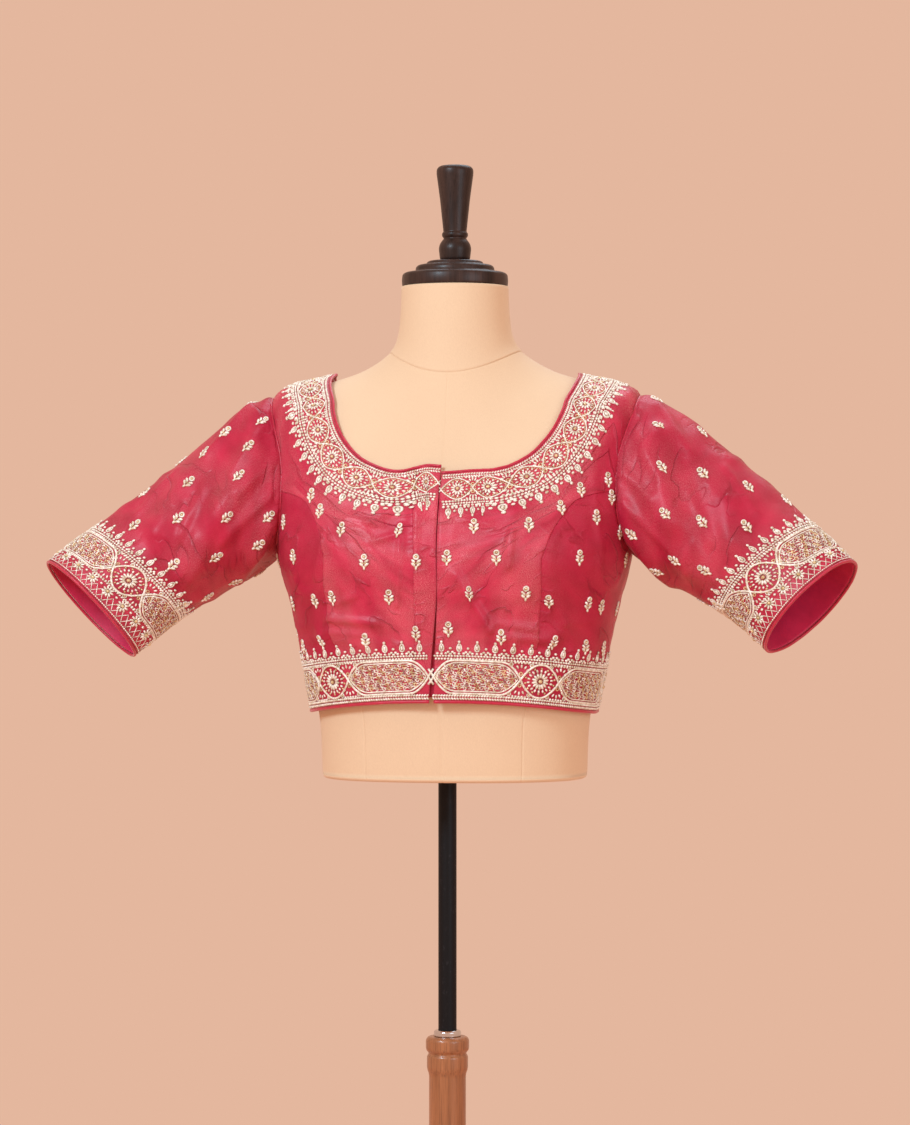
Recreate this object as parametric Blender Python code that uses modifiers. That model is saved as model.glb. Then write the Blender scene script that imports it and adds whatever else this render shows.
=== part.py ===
"""A choli blouse worn on a limbless dress form with a turned wooden stand.

Metres, +Z up. The origin is the centre of the base's underside, on the pole's axis. The blouse
faces -Y, and the wearer's left is +X.
"""

import math

import bmesh
import bpy
import numpy as np

NAME = "choli_blouse"

# Where the form's own axis stands from the pole's
FORM_AXIS = np.array((0.006, 0.012, 0.0))

# Cross sections of the dress form, from the bottom up. Each runs round the form and dips at the
# front and back from its height at the side. Depths are measured from the form's axis.
# front_z, side_z, back_z, half_width, front_depth, back_depth, shift back of the widest point, squareness
SECTIONS = (
    (0.9155, 0.9155, 0.9155, 0.1320, 0.098, 0.088, 0.000, 2.30),
    (0.9750, 0.9750, 0.9750, 0.1350, 0.102, 0.090, 0.000, 2.30),
    (1.0400, 1.0400, 1.0400, 0.1465, 0.108, 0.094, 0.000, 2.35),
    (1.0900, 1.0900, 1.0900, 0.1570, 0.111, 0.099, 0.000, 2.40),
    (1.1300, 1.1300, 1.1300, 0.1680, 0.112, 0.104, 0.000, 2.45),
    (1.1620, 1.1750, 1.1650, 0.1745, 0.110, 0.108, 0.004, 2.45),
    (1.1850, 1.2350, 1.2000, 0.1790, 0.105, 0.110, 0.008, 2.40),
    (1.2050, 1.2900, 1.2350, 0.1810, 0.098, 0.107, 0.012, 2.30),
    (1.2220, 1.3040, 1.2550, 0.1620, 0.091, 0.100, 0.017, 2.25),
    (1.2500, 1.3125, 1.2850, 0.1260, 0.079, 0.089, 0.020, 2.15),
    (1.2800, 1.3240, 1.3150, 0.0920, 0.068, 0.078, 0.018, 2.05),
    (1.3170, 1.3410, 1.3520, 0.0660, 0.058, 0.064, 0.010, 2.00),
    (1.3500, 1.3570, 1.3650, 0.0575, 0.055, 0.057, 0.004, 2.00),
    (1.3800, 1.3800, 1.3810, 0.0545, 0.054, 0.055, 0.001, 2.00),
    (1.4055, 1.4055, 1.4055, 0.0535, 0.0535, 0.0535, 0.000, 2.00),
)
BOTTOM_ROUND = 0.004

# The cups of the form: place, reach and swell
CUP_X = 0.085
CUP_Z = 1.135
CUP_SIGMA_X = 0.050
CUP_SIGMA_Z = 0.045
CUP_SWELL = 0.0225

# Cloth
WALL = 0.0015
SNUG = 0.0013
SEAM_GAP = 0.0003
PANEL_GAP = 0.0003
ARMHOLE_LIFT = 0.0011
ON_HEM = 0.0012
ON_CUFF = 0.0014
ON_NECK = 0.0031
TRIM = 0.0008
SIDE_EASE = 0.0034
HEM_EASE = 0.0075
BACK_EASE = 0.0030
BACK_SNUG = 0.0014
BRIDGE = 0.0060
RIDGE_EASE = 0.0027
CHEST_EASE = 0.0016
CENTRE_EASE = 0.0024

# Height of the blouse's bottom edge at the centre front, the sides and the back
HEM_FRONT = 0.9975
HEM_SIDE = 0.9840
HEM_BACK = 0.9810

# Front neckline, half width and height, from the centre to the shoulder
FRONT_NECK = (
    (0.052, 1.2190),
    (0.067, 1.2235),
    (0.083, 1.2320),
    (0.099, 1.2475),
    (0.109, 1.2630),
    (0.1155, 1.2800),
    (0.1200, 1.2960),
)
FRONT_NECK_CENTRE = 1.2160
# Back neckline, in the same way
BACK_NECK = (
    (0.050, 1.2390),
    (0.080, 1.2500),
    (0.102, 1.2700),
    (0.114, 1.2880),
)
BACK_NECK_CENTRE = 1.2350
NECK_POINT_X = 0.1245
# The free corner of the placket stands a little up
CORNER_RISE = 0.0065

# Armhole, as angles round the form and rows of the section table
ARMHOLE_ROW = 5.72
ARMHOLE_HALF_ROWS = 1.38
ARMHOLE_FRONT_REACH = math.radians(26.5)
ARMHOLE_BACK_REACH = math.radians(27.0)
PRINCESS_ANGLE = math.radians(98)

# Princess seams from the armhole down: height, distance from the centre on the left and the right
PRINCESS = (
    (1.1935, 0.1360, 0.1420),
    (1.1800, 0.1220, 0.1290),
    (1.1605, 0.1096, 0.1187),
    (1.1430, 0.1034, 0.1150),
    (1.1285, 0.0999, 0.1145),
    (1.0940, 0.0986, 0.1140),
    (1.0550, 0.0951, 0.1090),
    (1.0380, 0.0930, 0.1020),
)
PRINCESS_HEM_LEFT = 0.0900
PRINCESS_HEM_RIGHT = 0.0980

# Centre front edges, distance from the centre at the neck, the middle and the hem
LEFT_EDGE = (0.0002, -0.0005, -0.0035)
RIGHT_EDGE = (-0.0006, -0.0018, -0.0100)
PLACKET_SEAM = (-0.0235, -0.0235, -0.0245)
UNDERLAP_HALF_WIDTH = 0.014
UNDERLAP_TOP = 1.195
UNDERLAP_WALL = 0.0010
UNDERLAP_GAP = 0.0015

# Soft folds raised in the fronts: start x and z, end x and z, width, height
BODY_FOLDS = (
    (0.016, 1.120, 0.046, 1.068, 0.0060, 0.0030),
    (0.073, 1.160, 0.070, 1.128, 0.0055, 0.0022),
    (-0.105, 1.078, -0.055, 1.070, 0.0055, 0.0022),
    (-0.118, 1.060, -0.070, 1.052, 0.0050, 0.0020),
    (0.060, 1.056, 0.110, 1.062, 0.0055, 0.0022),
    (-0.070, 1.180, -0.020, 1.172, 0.0050, 0.0014),
    (0.030, 1.170, 0.080, 1.178, 0.0050, 0.0014),
)

# Sleeves, from the form's axis, and the way that they point
# centre x, y and z, half height, half depth of the cuff, ease above and below halfway along the sleeve
LEFT_SLEEVE = (0.3545, -0.060, 1.0885, 0.0590, 0.0440, -0.0035, -0.0035)
RIGHT_SLEEVE = (0.3560, -0.060, 1.0850, 0.0625, 0.0440, -0.0110, -0.0035)
SLEEVE_DROP = math.radians(44.5)
SLEEVE_FORWARD = math.radians(20.5)
SLEEVE_TENSION = 0.20
SLEEVE_SAG = 0.75

# Folds of the sleeves: start angle round and share of the length, end angle and share, width, height
LEFT_SLEEVE_FOLDS = (
    (48, 0.16, 96, 0.34, 0.0090, 0.0055),
    (96, 0.22, 132, 0.42, 0.0085, 0.0050),
    (60, 0.52, 112, 0.66, 0.0080, 0.0035),
    (120, 0.05, 170, 0.30, 0.0090, 0.0050),
    (230, 0.10, 262, 0.36, 0.0090, 0.0050),
    (262, 0.40, 300, 0.62, 0.0085, 0.0035),
)
RIGHT_SLEEVE_FOLDS = (
    (62, 0.10, 104, 0.30, 0.0090, 0.0055),
    (84, 0.30, 126, 0.56, 0.0090, 0.0050),
    (40, 0.34, 70, 0.60, 0.0085, 0.0030),
    (124, 0.06, 170, 0.28, 0.0090, 0.0050),
    (236, 0.12, 270, 0.40, 0.0090, 0.0050),
    (258, 0.48, 296, 0.66, 0.0085, 0.0035),
)

# Borders, as distances in from the edge of the cloth
BORDER_START = 0.0020
NECK_BORDER = (0.0180, 0.0340, 0.0450)
HEM_BORDER = (0.0200, 0.0400, 0.0520)
CUFF_BORDER = (0.0300, 0.0560, 0.0670)
SPIKE_PITCH = 0.0183
NECK_PIPING_RADIUS = 0.0014
HEM_PIPING_RADIUS = 0.0018
CUFF_PIPING_RADIUS = 0.0015

# Turned and metal parts, as radius and height from the top down
FINIAL_PROFILE = (
    (0.0000, 1.5275),
    (0.0150, 1.5265),
    (0.0183, 1.5235),
    (0.0185, 1.5190),
    (0.0150, 1.4930),
    (0.0116, 1.4605),
    (0.0130, 1.4590),
    (0.0130, 1.4560),
    (0.0110, 1.4540),
    (0.0150, 1.4490),
    (0.0163, 1.4440),
    (0.0149, 1.4316),
    (0.0000, 1.4316),
)
CAP_PROFILE = (
    (0.0000, 1.4313),
    (0.0260, 1.4313),
    (0.0280, 1.4300),
    (0.0285, 1.4282),
    (0.0370, 1.4270),
    (0.0392, 1.4248),
    (0.0396, 1.4206),
    (0.0500, 1.4195),
    (0.0526, 1.4175),
    (0.0532, 1.4120),
    (0.0528, 1.4058),
    (0.0000, 1.4058),
)
POLE_RADIUS = 0.0091
POLE_CLEAR = 0.0004
POLE_BOTTOM = 0.370
POLE_TOP = 0.960
BORE_BOTTOM = 0.130
FERRULE_RADIUS = 0.0135
FERRULE_HEIGHT = 0.0060
COLUMN_TOP = 0.6580
COLUMN_PROFILE = (
    (0.0190, 0.6580),
    (0.0216, 0.6550),
    (0.0216, 0.6450),
    (0.0184, 0.6412),
    (0.0205, 0.6385),
    (0.0205, 0.6260),
    (0.0184, 0.6205),
    (0.0184, 0.1200),
    (0.0250, 0.0800),
    (0.0380, 0.0520),
    (0.0400, 0.0440),
    (0.0400, 0.0343),
)
BASE_PROFILE = (
    (0.0000, 0.0340),
    (0.0600, 0.0340),
    (0.1600, 0.0285),
    (0.1790, 0.0255),
    (0.1850, 0.0190),
    (0.1850, 0.0050),
    (0.1810, 0.0000),
    (0.0000, 0.0000),
)

# Steps of the meshes, and of the searches for a place on the cloth
ROUND_STEPS = 24
BASE_STEPS = 32
PIPING_STEP = 0.018
TORSO_COLUMNS = 32
TORSO_ROWS = 20
CELL = 0.0215
BACK_CELL = 0.023
TOP_HOLD = 3
SLEEVE_COLUMNS = 22
SLEEVE_ROWS = 12
SEARCH_STEPS = 24

# Colours as linear red, green and blue
SILK = (0.60, 0.030, 0.075)
SILK_DARK = (0.42, 0.010, 0.040)
ZARDOZI = (0.80, 0.70, 0.50)
JERSEY = (0.90, 0.62, 0.40)
DARK_WOOD = (0.035, 0.018, 0.014)
HONEY_WOOD = (0.36, 0.14, 0.05)
BLACK_METAL = (0.008, 0.008, 0.009)
CHROME = (0.65, 0.65, 0.66)


def smooth_step(value, low, high):
    """From 0 at low to 1 at high, with soft ends."""
    share = np.clip((np.asarray(value, float) - low) / (high - low), 0, 1)
    return share * share * (3 - 2 * share)


def along(rows, place):
    """The values of a table between its rows, on a smooth curve, at a row number."""
    rows = np.asarray(rows, float)
    last = len(rows) - 1
    place = np.clip(np.asarray(place, float), 0, last)
    here = np.minimum(place.astype(int), last - 1)
    share = (place - here)[..., None]
    p0 = rows[np.maximum(here - 1, 0)]
    p1 = rows[here]
    p2 = rows[here + 1]
    p3 = rows[np.minimum(here + 2, last)]
    first = (here == 0)[..., None]
    final = (here == last - 1)[..., None]
    m1 = np.where(first, p2 - p1, (p2 - p0) / 2)
    m2 = np.where(final, p2 - p1, (p3 - p1) / 2)
    s2 = share * share
    s3 = s2 * share
    return (
        (2 * s3 - 3 * s2 + 1) * p1
        + (s3 - 2 * s2 + share) * m1
        + (3 * s2 - 2 * s3) * p2
        + (s3 - s2) * m2
    )


def form_point(angle, row):
    """A point of the form. The angle is 0 at the front, 90 degrees at the wearer's left."""
    angle, row = np.broadcast_arrays(np.asarray(angle, float), np.asarray(row, float))
    front_z, side_z, back_z, half, front, back, shift, square = np.moveaxis(along(SECTIONS, row), -1, 0)
    sine = np.sin(angle)
    cosine = np.cos(angle)
    ahead = cosine >= 0
    x = half * np.sign(sine) * np.abs(sine) ** (2 / square)
    reach = np.where(ahead, -(front + shift), back - shift)
    y = shift + reach * np.abs(cosine) ** (2 / square)
    z = side_z + (np.where(ahead, front_z, back_z) - side_z) * cosine**2
    fade = smooth_step(cosine, 0.0, 0.4)
    for side in (-1, 1):
        across = (x - side * CUP_X) / CUP_SIGMA_X
        up = (z - CUP_Z) / CUP_SIGMA_Z
        y = y - CUP_SWELL * fade * np.exp(-0.5 * (across**2 + up**2))
    return np.stack((x, y, z), -1) + FORM_AXIS


def form_normal(angle, row):
    """The way out of the form at a point."""
    turn = 0.004
    rise = 0.01
    row = np.clip(row, rise, len(SECTIONS) - 1 - rise)
    round_it = form_point(angle + turn, row) - form_point(angle - turn, row)
    up = form_point(angle, row + rise) - form_point(angle, row - rise)
    out = np.cross(round_it, up)
    return out / np.linalg.norm(out, axis=-1, keepdims=True)


def fold_height(x, z, folds):
    """How far soft straight folds raise the cloth at a place seen from the front."""
    height = np.zeros(np.shape(x))
    for x0, z0, x1, z1, width, rise in folds:
        length2 = (x1 - x0) ** 2 + (z1 - z0) ** 2
        share = ((x - x0) * (x1 - x0) + (z - z0) * (z1 - z0)) / length2
        near = np.clip(share, 0, 1)
        off2 = (x - x0 - near * (x1 - x0)) ** 2 + (z - z0 - near * (z1 - z0)) ** 2
        height = height + rise * np.exp(-off2 / (2 * width**2))
    return height


def stand_off(angle, row):
    """How far the inside of the cloth is from the form."""
    x, y, z = np.moveaxis(form_point(angle, row) - FORM_AXIS, -1, 0)
    sine = np.abs(np.sin(angle))
    ahead = np.clip(np.cos(angle), 0, 1)
    behind = np.clip(-np.cos(angle), 0, 1)
    low = 1 - smooth_step(z, 0.990, 1.095)
    under_arm = 1 - smooth_step(z, 1.130, 1.250)
    gap = SNUG + SIDE_EASE * sine**4 * under_arm
    gap = gap + BACK_SNUG * smooth_step(-np.cos(angle), -0.1, 0.3)
    gap = gap + RIDGE_EASE * sine**4 * smooth_step(z, 1.225, 1.285)
    gap = gap + CHEST_EASE * ahead**0.5 * np.exp(-(((z - 1.197) / 0.020) ** 2))
    gap = gap + HEM_EASE * ahead**0.8 * low
    gap = gap + BACK_EASE * behind * (1 - smooth_step(z, 1.020, 1.180))
    gap = gap + BRIDGE * ahead**2 * np.exp(-((x / 0.045) ** 2) - ((z - 1.125) / 0.055) ** 2)
    gap = gap + CENTRE_EASE * smooth_step(ahead, 0.2, 0.6) * np.exp(-((x / 0.030) ** 2))
    return gap + smooth_step(ahead, 0.1, 0.5) * fold_height(x, z, BODY_FOLDS)


def cloth_point(angle, row, lift=0.0):
    """A point of the blouse's body, on its inside, or lifted off that."""
    angle, row = np.broadcast_arrays(np.asarray(angle, float), np.asarray(row, float))
    out = stand_off(angle, row) + lift
    return form_point(angle, row) + form_normal(angle, row) * out[..., None]


def outside(angle, row):
    """A point of the cloth's outer face, from the form's axis."""
    return cloth_point(angle, row, WALL) - FORM_AXIS


def slopes(angle, row):
    """How the outer face moves with the angle and with the row."""
    turn = 0.004
    rise = 0.01
    by_angle = (outside(angle + turn, row) - outside(angle - turn, row)) / (2 * turn)
    by_row = (outside(angle, row + rise) - outside(angle, row - rise)) / (2 * rise)
    return by_angle, by_row


def locate(x, z, back=False):
    """The angles and rows where the outer face has some x and z, seen from the front or back."""
    x, z = np.broadcast_arrays(np.asarray(x, float), np.asarray(z, float))
    guess = np.arctan2(np.abs(x), 0.11)
    angle = np.copysign(np.pi - guess if back else guess, x)
    row = np.interp(z, [s[0] for s in SECTIONS], range(len(SECTIONS)))
    for _ in range(SEARCH_STEPS):
        point = outside(angle, row)
        by_angle, by_row = slopes(angle, row)
        miss_x = x - point[..., 0]
        miss_z = z - point[..., 2]
        size = by_angle[..., 0] * by_row[..., 2] - by_angle[..., 2] * by_row[..., 0]
        turn = (miss_x * by_row[..., 2] - miss_z * by_row[..., 0]) / size
        rise = (miss_z * by_angle[..., 0] - miss_x * by_angle[..., 2]) / size
        angle = angle + np.clip(turn, -0.12, 0.12)
        row = row + np.clip(rise, -0.5, 0.5)
    return np.stack((angle, row), -1)


def level(angle, z):
    """The rows where the outer face has some heights, at some angles."""
    row = np.ones(np.shape(angle))
    for _ in range(SEARCH_STEPS):
        rise = slopes(angle, row)[1][..., 2]
        row = row + np.clip((z - outside(angle, row)[..., 2]) / rise, -1, 1)
    return row


def ridge_row(x):
    """The row of the shoulder ridge that is x from the centre, on the outer face."""
    low, high = 7.2, 10.5
    for _ in range(SEARCH_STEPS):
        middle = (low + high) / 2
        if outside(math.pi / 2, middle)[0] > x:
            low = middle
        else:
            high = middle
    return low


def lengths(path):
    """The distance along a path of angles and rows, at each of its points."""
    points = outside(path[:, 0], path[:, 1])
    steps = np.linalg.norm(np.diff(points, axis=0), axis=1)
    return np.concatenate(((0,), np.cumsum(steps)))


def smooth_path(points, per_span=8):
    """A smooth path of angles and rows through some points."""
    points = np.array(points, float)
    places = np.linspace(0, len(points) - 1, (len(points) - 1) * per_span + 1)
    return along(points, places)


def spaced(path, count):
    """The path as count equal steps."""
    far = lengths(path)
    wanted = np.linspace(0, far[-1], count + 1)
    return np.stack([np.interp(wanted, far, path[:, k]) for k in (0, 1)], -1)


def armhole_at(phi, side=1):
    """The armhole at an angle round it: 0 at the shoulder, 90 degrees at the front."""
    phi = np.asarray(phi, float)
    reach = np.where(np.sin(phi) > 0, ARMHOLE_FRONT_REACH, ARMHOLE_BACK_REACH)
    angle = math.pi / 2 - reach * np.sin(phi)
    row = ARMHOLE_ROW + ARMHOLE_HALF_ROWS * np.cos(phi)
    return np.stack((side * angle, row), -1)


def armhole_path(start, end, side=1, steps=24):
    """A stretch of the armhole between two angles round it."""
    return armhole_at(np.linspace(start, end, steps + 1), side)


def hem_height(angle):
    """The height of the hem at an angle."""
    ahead = np.clip(np.cos(angle), 0, 1)
    behind = np.clip(-np.cos(angle), 0, 1)
    return HEM_SIDE + (HEM_FRONT - HEM_SIDE) * ahead**2 + (HEM_BACK - HEM_SIDE) * behind**2


def hem_path(start, end, steps=24):
    """The hem between two angles."""
    angles = np.linspace(start, end, steps + 1)
    return np.stack((angles, level(angles, hem_height(angles))), -1)


def centre_edge(offsets, top_z):
    """A centre front edge from the hem up, through its distances from the centre."""
    top, middle, bottom = offsets
    across = (bottom, middle, 0.5 * (middle + top), top)
    return smooth_path(locate(across, (HEM_FRONT, 1.09, 1.15, top_z)))


def neck_height(x):
    """The height of the front neckline near the centre."""
    rise = CORNER_RISE * smooth_step(x, -0.036, -0.018) * (np.asarray(x) < 0)
    return np.interp(np.abs(x), (0, FRONT_NECK[0][0]), (FRONT_NECK_CENTRE, FRONT_NECK[0][1])) + rise


def front_neck_path(start_x, side):
    """The neckline from a distance from the centre front to the shoulder ridge."""
    first = np.linspace(start_x, side * FRONT_NECK[0][0], 5)[:-1]
    wide, high = np.transpose(FRONT_NECK)
    near = locate(first, neck_height(first))
    far = locate(side * wide, high)
    end = ((side * math.pi / 2, ridge_row(NECK_POINT_X)),)
    return smooth_path(np.concatenate((near, far, end)))


def back_neck_path(side):
    """The neckline from the centre back to the shoulder ridge."""
    wide, high = np.transpose(BACK_NECK)
    middle = ((side * math.pi, level(math.pi, BACK_NECK_CENTRE)),)
    far = locate(side * wide, high, True)
    end = ((side * math.pi / 2, ridge_row(NECK_POINT_X)),)
    return smooth_path(np.concatenate((middle, far, end)))


def shoulder_path(side):
    """The shoulder seam from the neckline to the armhole."""
    rows = np.linspace(ridge_row(NECK_POINT_X), ARMHOLE_ROW + ARMHOLE_HALF_ROWS, 9)
    return np.stack((np.full(9, side * math.pi / 2), rows), -1)


def princess_path(side):
    """The princess seam from the hem up to the armhole."""
    high, *wide = np.transpose(PRINCESS[::-1])
    hem_x = PRINCESS_HEM_LEFT if side > 0 else PRINCESS_HEM_RIGHT
    hem_angle = locate(side * hem_x, HEM_FRONT)[0]
    hem = ((hem_angle, level(hem_angle, hem_height(hem_angle))),)
    seam = locate(side * wide[0 if side > 0 else 1], high)
    return smooth_path(np.concatenate((hem, seam, armhole_at(PRINCESS_ANGLE, side)[None])))


def straight_share(path):
    """Where each point of a path would be on a straight run between its ends."""
    share = np.linspace(0, 1, len(path))[:, None]
    return path[0] + (path[-1] - path[0]) * share


def panel_grid(bottom, top, left, right):
    """A grid of angles and rows between four paths that share their corners.

    Its rows run straight from left to right, and bend to the top only near the top.
    """
    u = np.linspace(0, 1, len(bottom))[:, None, None]
    v = np.linspace(0, 1, len(left))[None, :, None]
    across = (1 - u) * left[None] + u * right[None]
    low = (bottom - straight_share(bottom))[:, None] * (1 - v) ** TOP_HOLD
    high = (top - straight_share(top))[:, None] * v**TOP_HOLD
    return across + low + high


def drawn_in(grid, edges):
    """The grid with its edges moved in by a seam gap: bottom, top, left, right."""
    points = outside(grid[..., 0], grid[..., 1])
    moved = grid.copy()
    for name in edges:
        near = {"bottom": (slice(None), 0), "top": (slice(None), -1), "left": (0,), "right": (-1,)}[name]
        next_in = {"bottom": (slice(None), 1), "top": (slice(None), -2), "left": (1,), "right": (-2,)}[name]
        span = np.linalg.norm(points[next_in] - points[near], axis=-1)[..., None]
        moved[near] += (grid[next_in] - grid[near]) * PANEL_GAP / span
    return moved


def runs(paths, cell):
    """Some paths end to end, each in equal steps of about a cell."""
    parts = [spaced(path, max(1, round(lengths(path)[-1] / cell))) for path in paths]
    return np.concatenate([part[:-1] for part in parts[:-1]] + parts[-1:])


def grid_mesh(name, points):
    """An open surface from a grid of points, facing out of the first side by the second."""
    columns, rows = points.shape[:2]
    mesh = bpy.data.meshes.new(name)
    index = np.arange(columns * rows).reshape(columns, rows)
    faces = [
        (index[i, j], index[i + 1, j], index[i + 1, j + 1], index[i, j + 1])
        for i in range(columns - 1)
        for j in range(rows - 1)
    ]
    mesh.from_pydata(points.reshape(-1, 3).tolist(), [], [[int(k) for k in f] for f in faces])
    return mesh


def material(name, colour, roughness, metallic=0.0):
    """A Principled material."""
    made = bpy.data.materials.new(name)
    made.use_nodes = True
    shader = made.node_tree.nodes["Principled BSDF"]
    shader.inputs["Base Color"].default_value = (*colour, 1)
    shader.inputs["Roughness"].default_value = roughness
    shader.inputs["Metallic"].default_value = metallic
    return made


def put(name, mesh, finish):
    """A named object of the part."""
    made = bpy.data.objects.new(name, mesh)
    made.data.materials.append(finish)
    PARTS.objects.link(made)
    return made


def cloth(name, points, finish, thickness=WALL):
    """A cloth piece: the open surface in the middle of its wall, which Solidify thickens."""
    made = put(name, grid_mesh(name, points), finish)
    wall = made.modifiers.new("wall", "SOLIDIFY")
    wall.thickness = thickness
    wall.offset = 0
    made.data.shade_smooth()
    return made


def turned(name, profile, finish, steps):
    """A turned piece: a profile with a Screw modifier, its ends on the axis."""
    mesh = bpy.data.meshes.new(name)
    mesh.from_pydata([(r, 0, z) for r, z in profile], [(i, i + 1) for i in range(len(profile) - 1)], [])
    return screw(put(name, mesh, finish), steps)


def screw(made, steps):
    """A full turn about Z."""
    turn = made.modifiers.new("turn", "SCREW")
    turn.steps = steps
    turn.render_steps = steps
    turn.use_merge_vertices = True
    turn.merge_threshold = 0.00001
    turn.use_smooth_shade = True
    return made


def panel(name, grid, edges, finish):
    """A panel of the body from its grid of angles and rows, facing out on either side."""
    grid = drawn_in(grid, edges)
    if grid[-1, 0, 0] < grid[0, 0, 0]:
        grid = grid[::-1]
    cloth(name, cloth_point(grid[..., 0], grid[..., 1], WALL / 2), finish)


def centre_fronts(silk):
    """The fronts between the princess seams, up to the shoulders and the armholes."""
    for side, name in ((1, "front_left"), (-1, "front_right")):
        offsets = LEFT_EDGE if side > 0 else PLACKET_SEAM
        neck = front_neck_path(offsets[0], side)
        edge = centre_edge(offsets, neck_height(offsets[0]))
        edge[-1] = neck[0]
        seam = princess_path(side)
        top = runs((neck, shoulder_path(side)), CELL)
        outer = runs((seam, armhole_path(PRINCESS_ANGLE, 0, side)), CELL)
        inner = spaced(edge, len(outer) - 1)
        hem = spaced(hem_path(edge[0, 0], seam[0, 0]), len(top) - 1)
        panel(name, panel_grid(hem, top, inner, outer), ("left", "right", "top"), silk)


def placket(silk):
    """The strip sewn along the edge of the right front."""
    across = np.linspace(PLACKET_SEAM[0], RIGHT_EDGE[0], 3)
    top = locate(across, neck_height(across))
    sides = []
    for offsets, corner in ((PLACKET_SEAM, top[0]), (RIGHT_EDGE, top[-1])):
        edge = centre_edge(offsets, neck_height(offsets[0]))
        edge[-1] = corner
        sides.append(spaced(edge, round(lengths(edge)[-1] / CELL)))
    hem = hem_path(sides[0][0, 0], sides[1][0, 0], 2)
    panel("front_placket", panel_grid(hem, top, *sides), ("left", "right"), silk)


def underlap(finish):
    """A strip behind the centre front opening, just inside the fronts."""
    rows = round((UNDERLAP_TOP - HEM_FRONT) / CELL)
    places = np.linspace(HEM_FRONT + 0.002, UNDERLAP_TOP, rows)
    middle = np.linspace(LEFT_EDGE[2] + RIGHT_EDGE[2], LEFT_EDGE[0] + RIGHT_EDGE[0], rows) / 2
    across = np.array((-1, 0, 1))[:, None] * UNDERLAP_HALF_WIDTH
    grid = locate(middle + across, places)
    depth = -(UNDERLAP_WALL / 2 + UNDERLAP_GAP)
    cloth("front_underlap", cloth_point(grid[..., 0], grid[..., 1], depth), finish, UNDERLAP_WALL)


def side_fronts(silk):
    """The panels between the princess seams and the side seams."""
    for side, name in ((1, "side_front_left"), (-1, "side_front_right")):
        seam = princess_path(side)
        under = armhole_path(PRINCESS_ANGLE, math.pi, side)
        rows = np.linspace(level(side * math.pi / 2, HEM_SIDE), ARMHOLE_ROW - ARMHOLE_HALF_ROWS, 20)
        side_seam = np.stack((np.full(20, side * math.pi / 2), rows), -1)
        hem = hem_path(seam[0, 0], side * math.pi / 2)
        across = round(lengths(under)[-1] / CELL) + 1
        up = round(lengths(seam)[-1] / CELL)
        ends = (spaced(hem, across), spaced(under, across))
        grid = panel_grid(*ends, spaced(seam, up), spaced(side_seam, up))
        panel(name, grid, ("left", "right", "top"), silk)


def back(silk):
    """The back, from side seam to side seam: one half, and the same again across the centre."""
    side_rows = np.linspace(level(math.pi / 2, HEM_SIDE), ARMHOLE_ROW - ARMHOLE_HALF_ROWS, 20)
    side_seam = np.stack((np.full(20, math.pi / 2), side_rows), -1)
    neck = back_neck_path(1)
    top = runs((shoulder_path(1)[::-1], neck[::-1]), BACK_CELL)
    outer = runs((side_seam, armhole_path(math.pi, 2 * math.pi)), BACK_CELL)
    middle_rows = np.linspace(level(math.pi, HEM_BACK), neck[0, 1], 20)
    inner = spaced(np.stack((np.full(20, math.pi), middle_rows), -1), len(outer) - 1)
    hem = spaced(hem_path(math.pi / 2, math.pi), len(top) - 1)
    grid = drawn_in(panel_grid(hem, top, outer, inner), ("left", "top"))
    half = cloth_point(grid[..., 0], grid[..., 1], WALL / 2)
    half[-1, :, 0] = FORM_AXIS[0]
    other = half[::-1].copy()
    other[..., 0] = 2 * FORM_AXIS[0] - other[..., 0]
    cloth("back", np.concatenate((half, other[1:])), silk)


def sleeve_frame(side):
    """The directions of a sleeve: along it, up across it and forward across it."""
    down = np.array((side * math.cos(SLEEVE_DROP), 0, -math.sin(SLEEVE_DROP)))
    up = np.array((side * math.sin(SLEEVE_DROP), 0, math.cos(SLEEVE_DROP)))
    ahead = np.array((0, -1.0, 0))
    way = down * math.cos(SLEEVE_FORWARD) + ahead * math.sin(SLEEVE_FORWARD)
    depth = ahead * math.cos(SLEEVE_FORWARD) - down * math.sin(SLEEVE_FORWARD)
    return way, up, depth


def sleeve_base(side, phi, share):
    """A point of a sleeve with no folds: phi goes round it, share from the armhole to the cuff."""
    phi, share = np.broadcast_arrays(np.asarray(phi, float), np.asarray(share, float))
    way, up, depth = sleeve_frame(side)
    x, y, z, half_height, half_depth, *_ = LEFT_SLEEVE if side > 0 else RIGHT_SLEEVE
    rim = armhole_at(phi, side)
    start = cloth_point(rim[..., 0], rim[..., 1], WALL + ARMHOLE_LIFT)
    out = form_normal(rim[..., 0], rim[..., 1])
    centre = FORM_AXIS + np.array((side * x, y, z))
    end = centre + half_height * np.cos(phi)[..., None] * up
    end = end + half_depth * np.sin(phi)[..., None] * depth
    lower = np.clip(-np.cos(phi), 0, 1)[..., None]
    sag = np.array((0, 0, -1.0)) * SLEEVE_SAG * lower
    leave = out * (0.55 + 0.25 * lower) + way * 0.75 + sag
    leave = SLEEVE_TENSION * leave / np.linalg.norm(leave, axis=-1, keepdims=True)
    arrive = SLEEVE_TENSION * way
    s = share[..., None]
    s2 = s * s
    s3 = s2 * s
    return (
        (2 * s3 - 3 * s2 + 1) * start
        + (s3 - 2 * s2 + s) * leave
        + (3 * s2 - 2 * s3) * end
        + (s3 - s2) * arrive
    )


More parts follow.
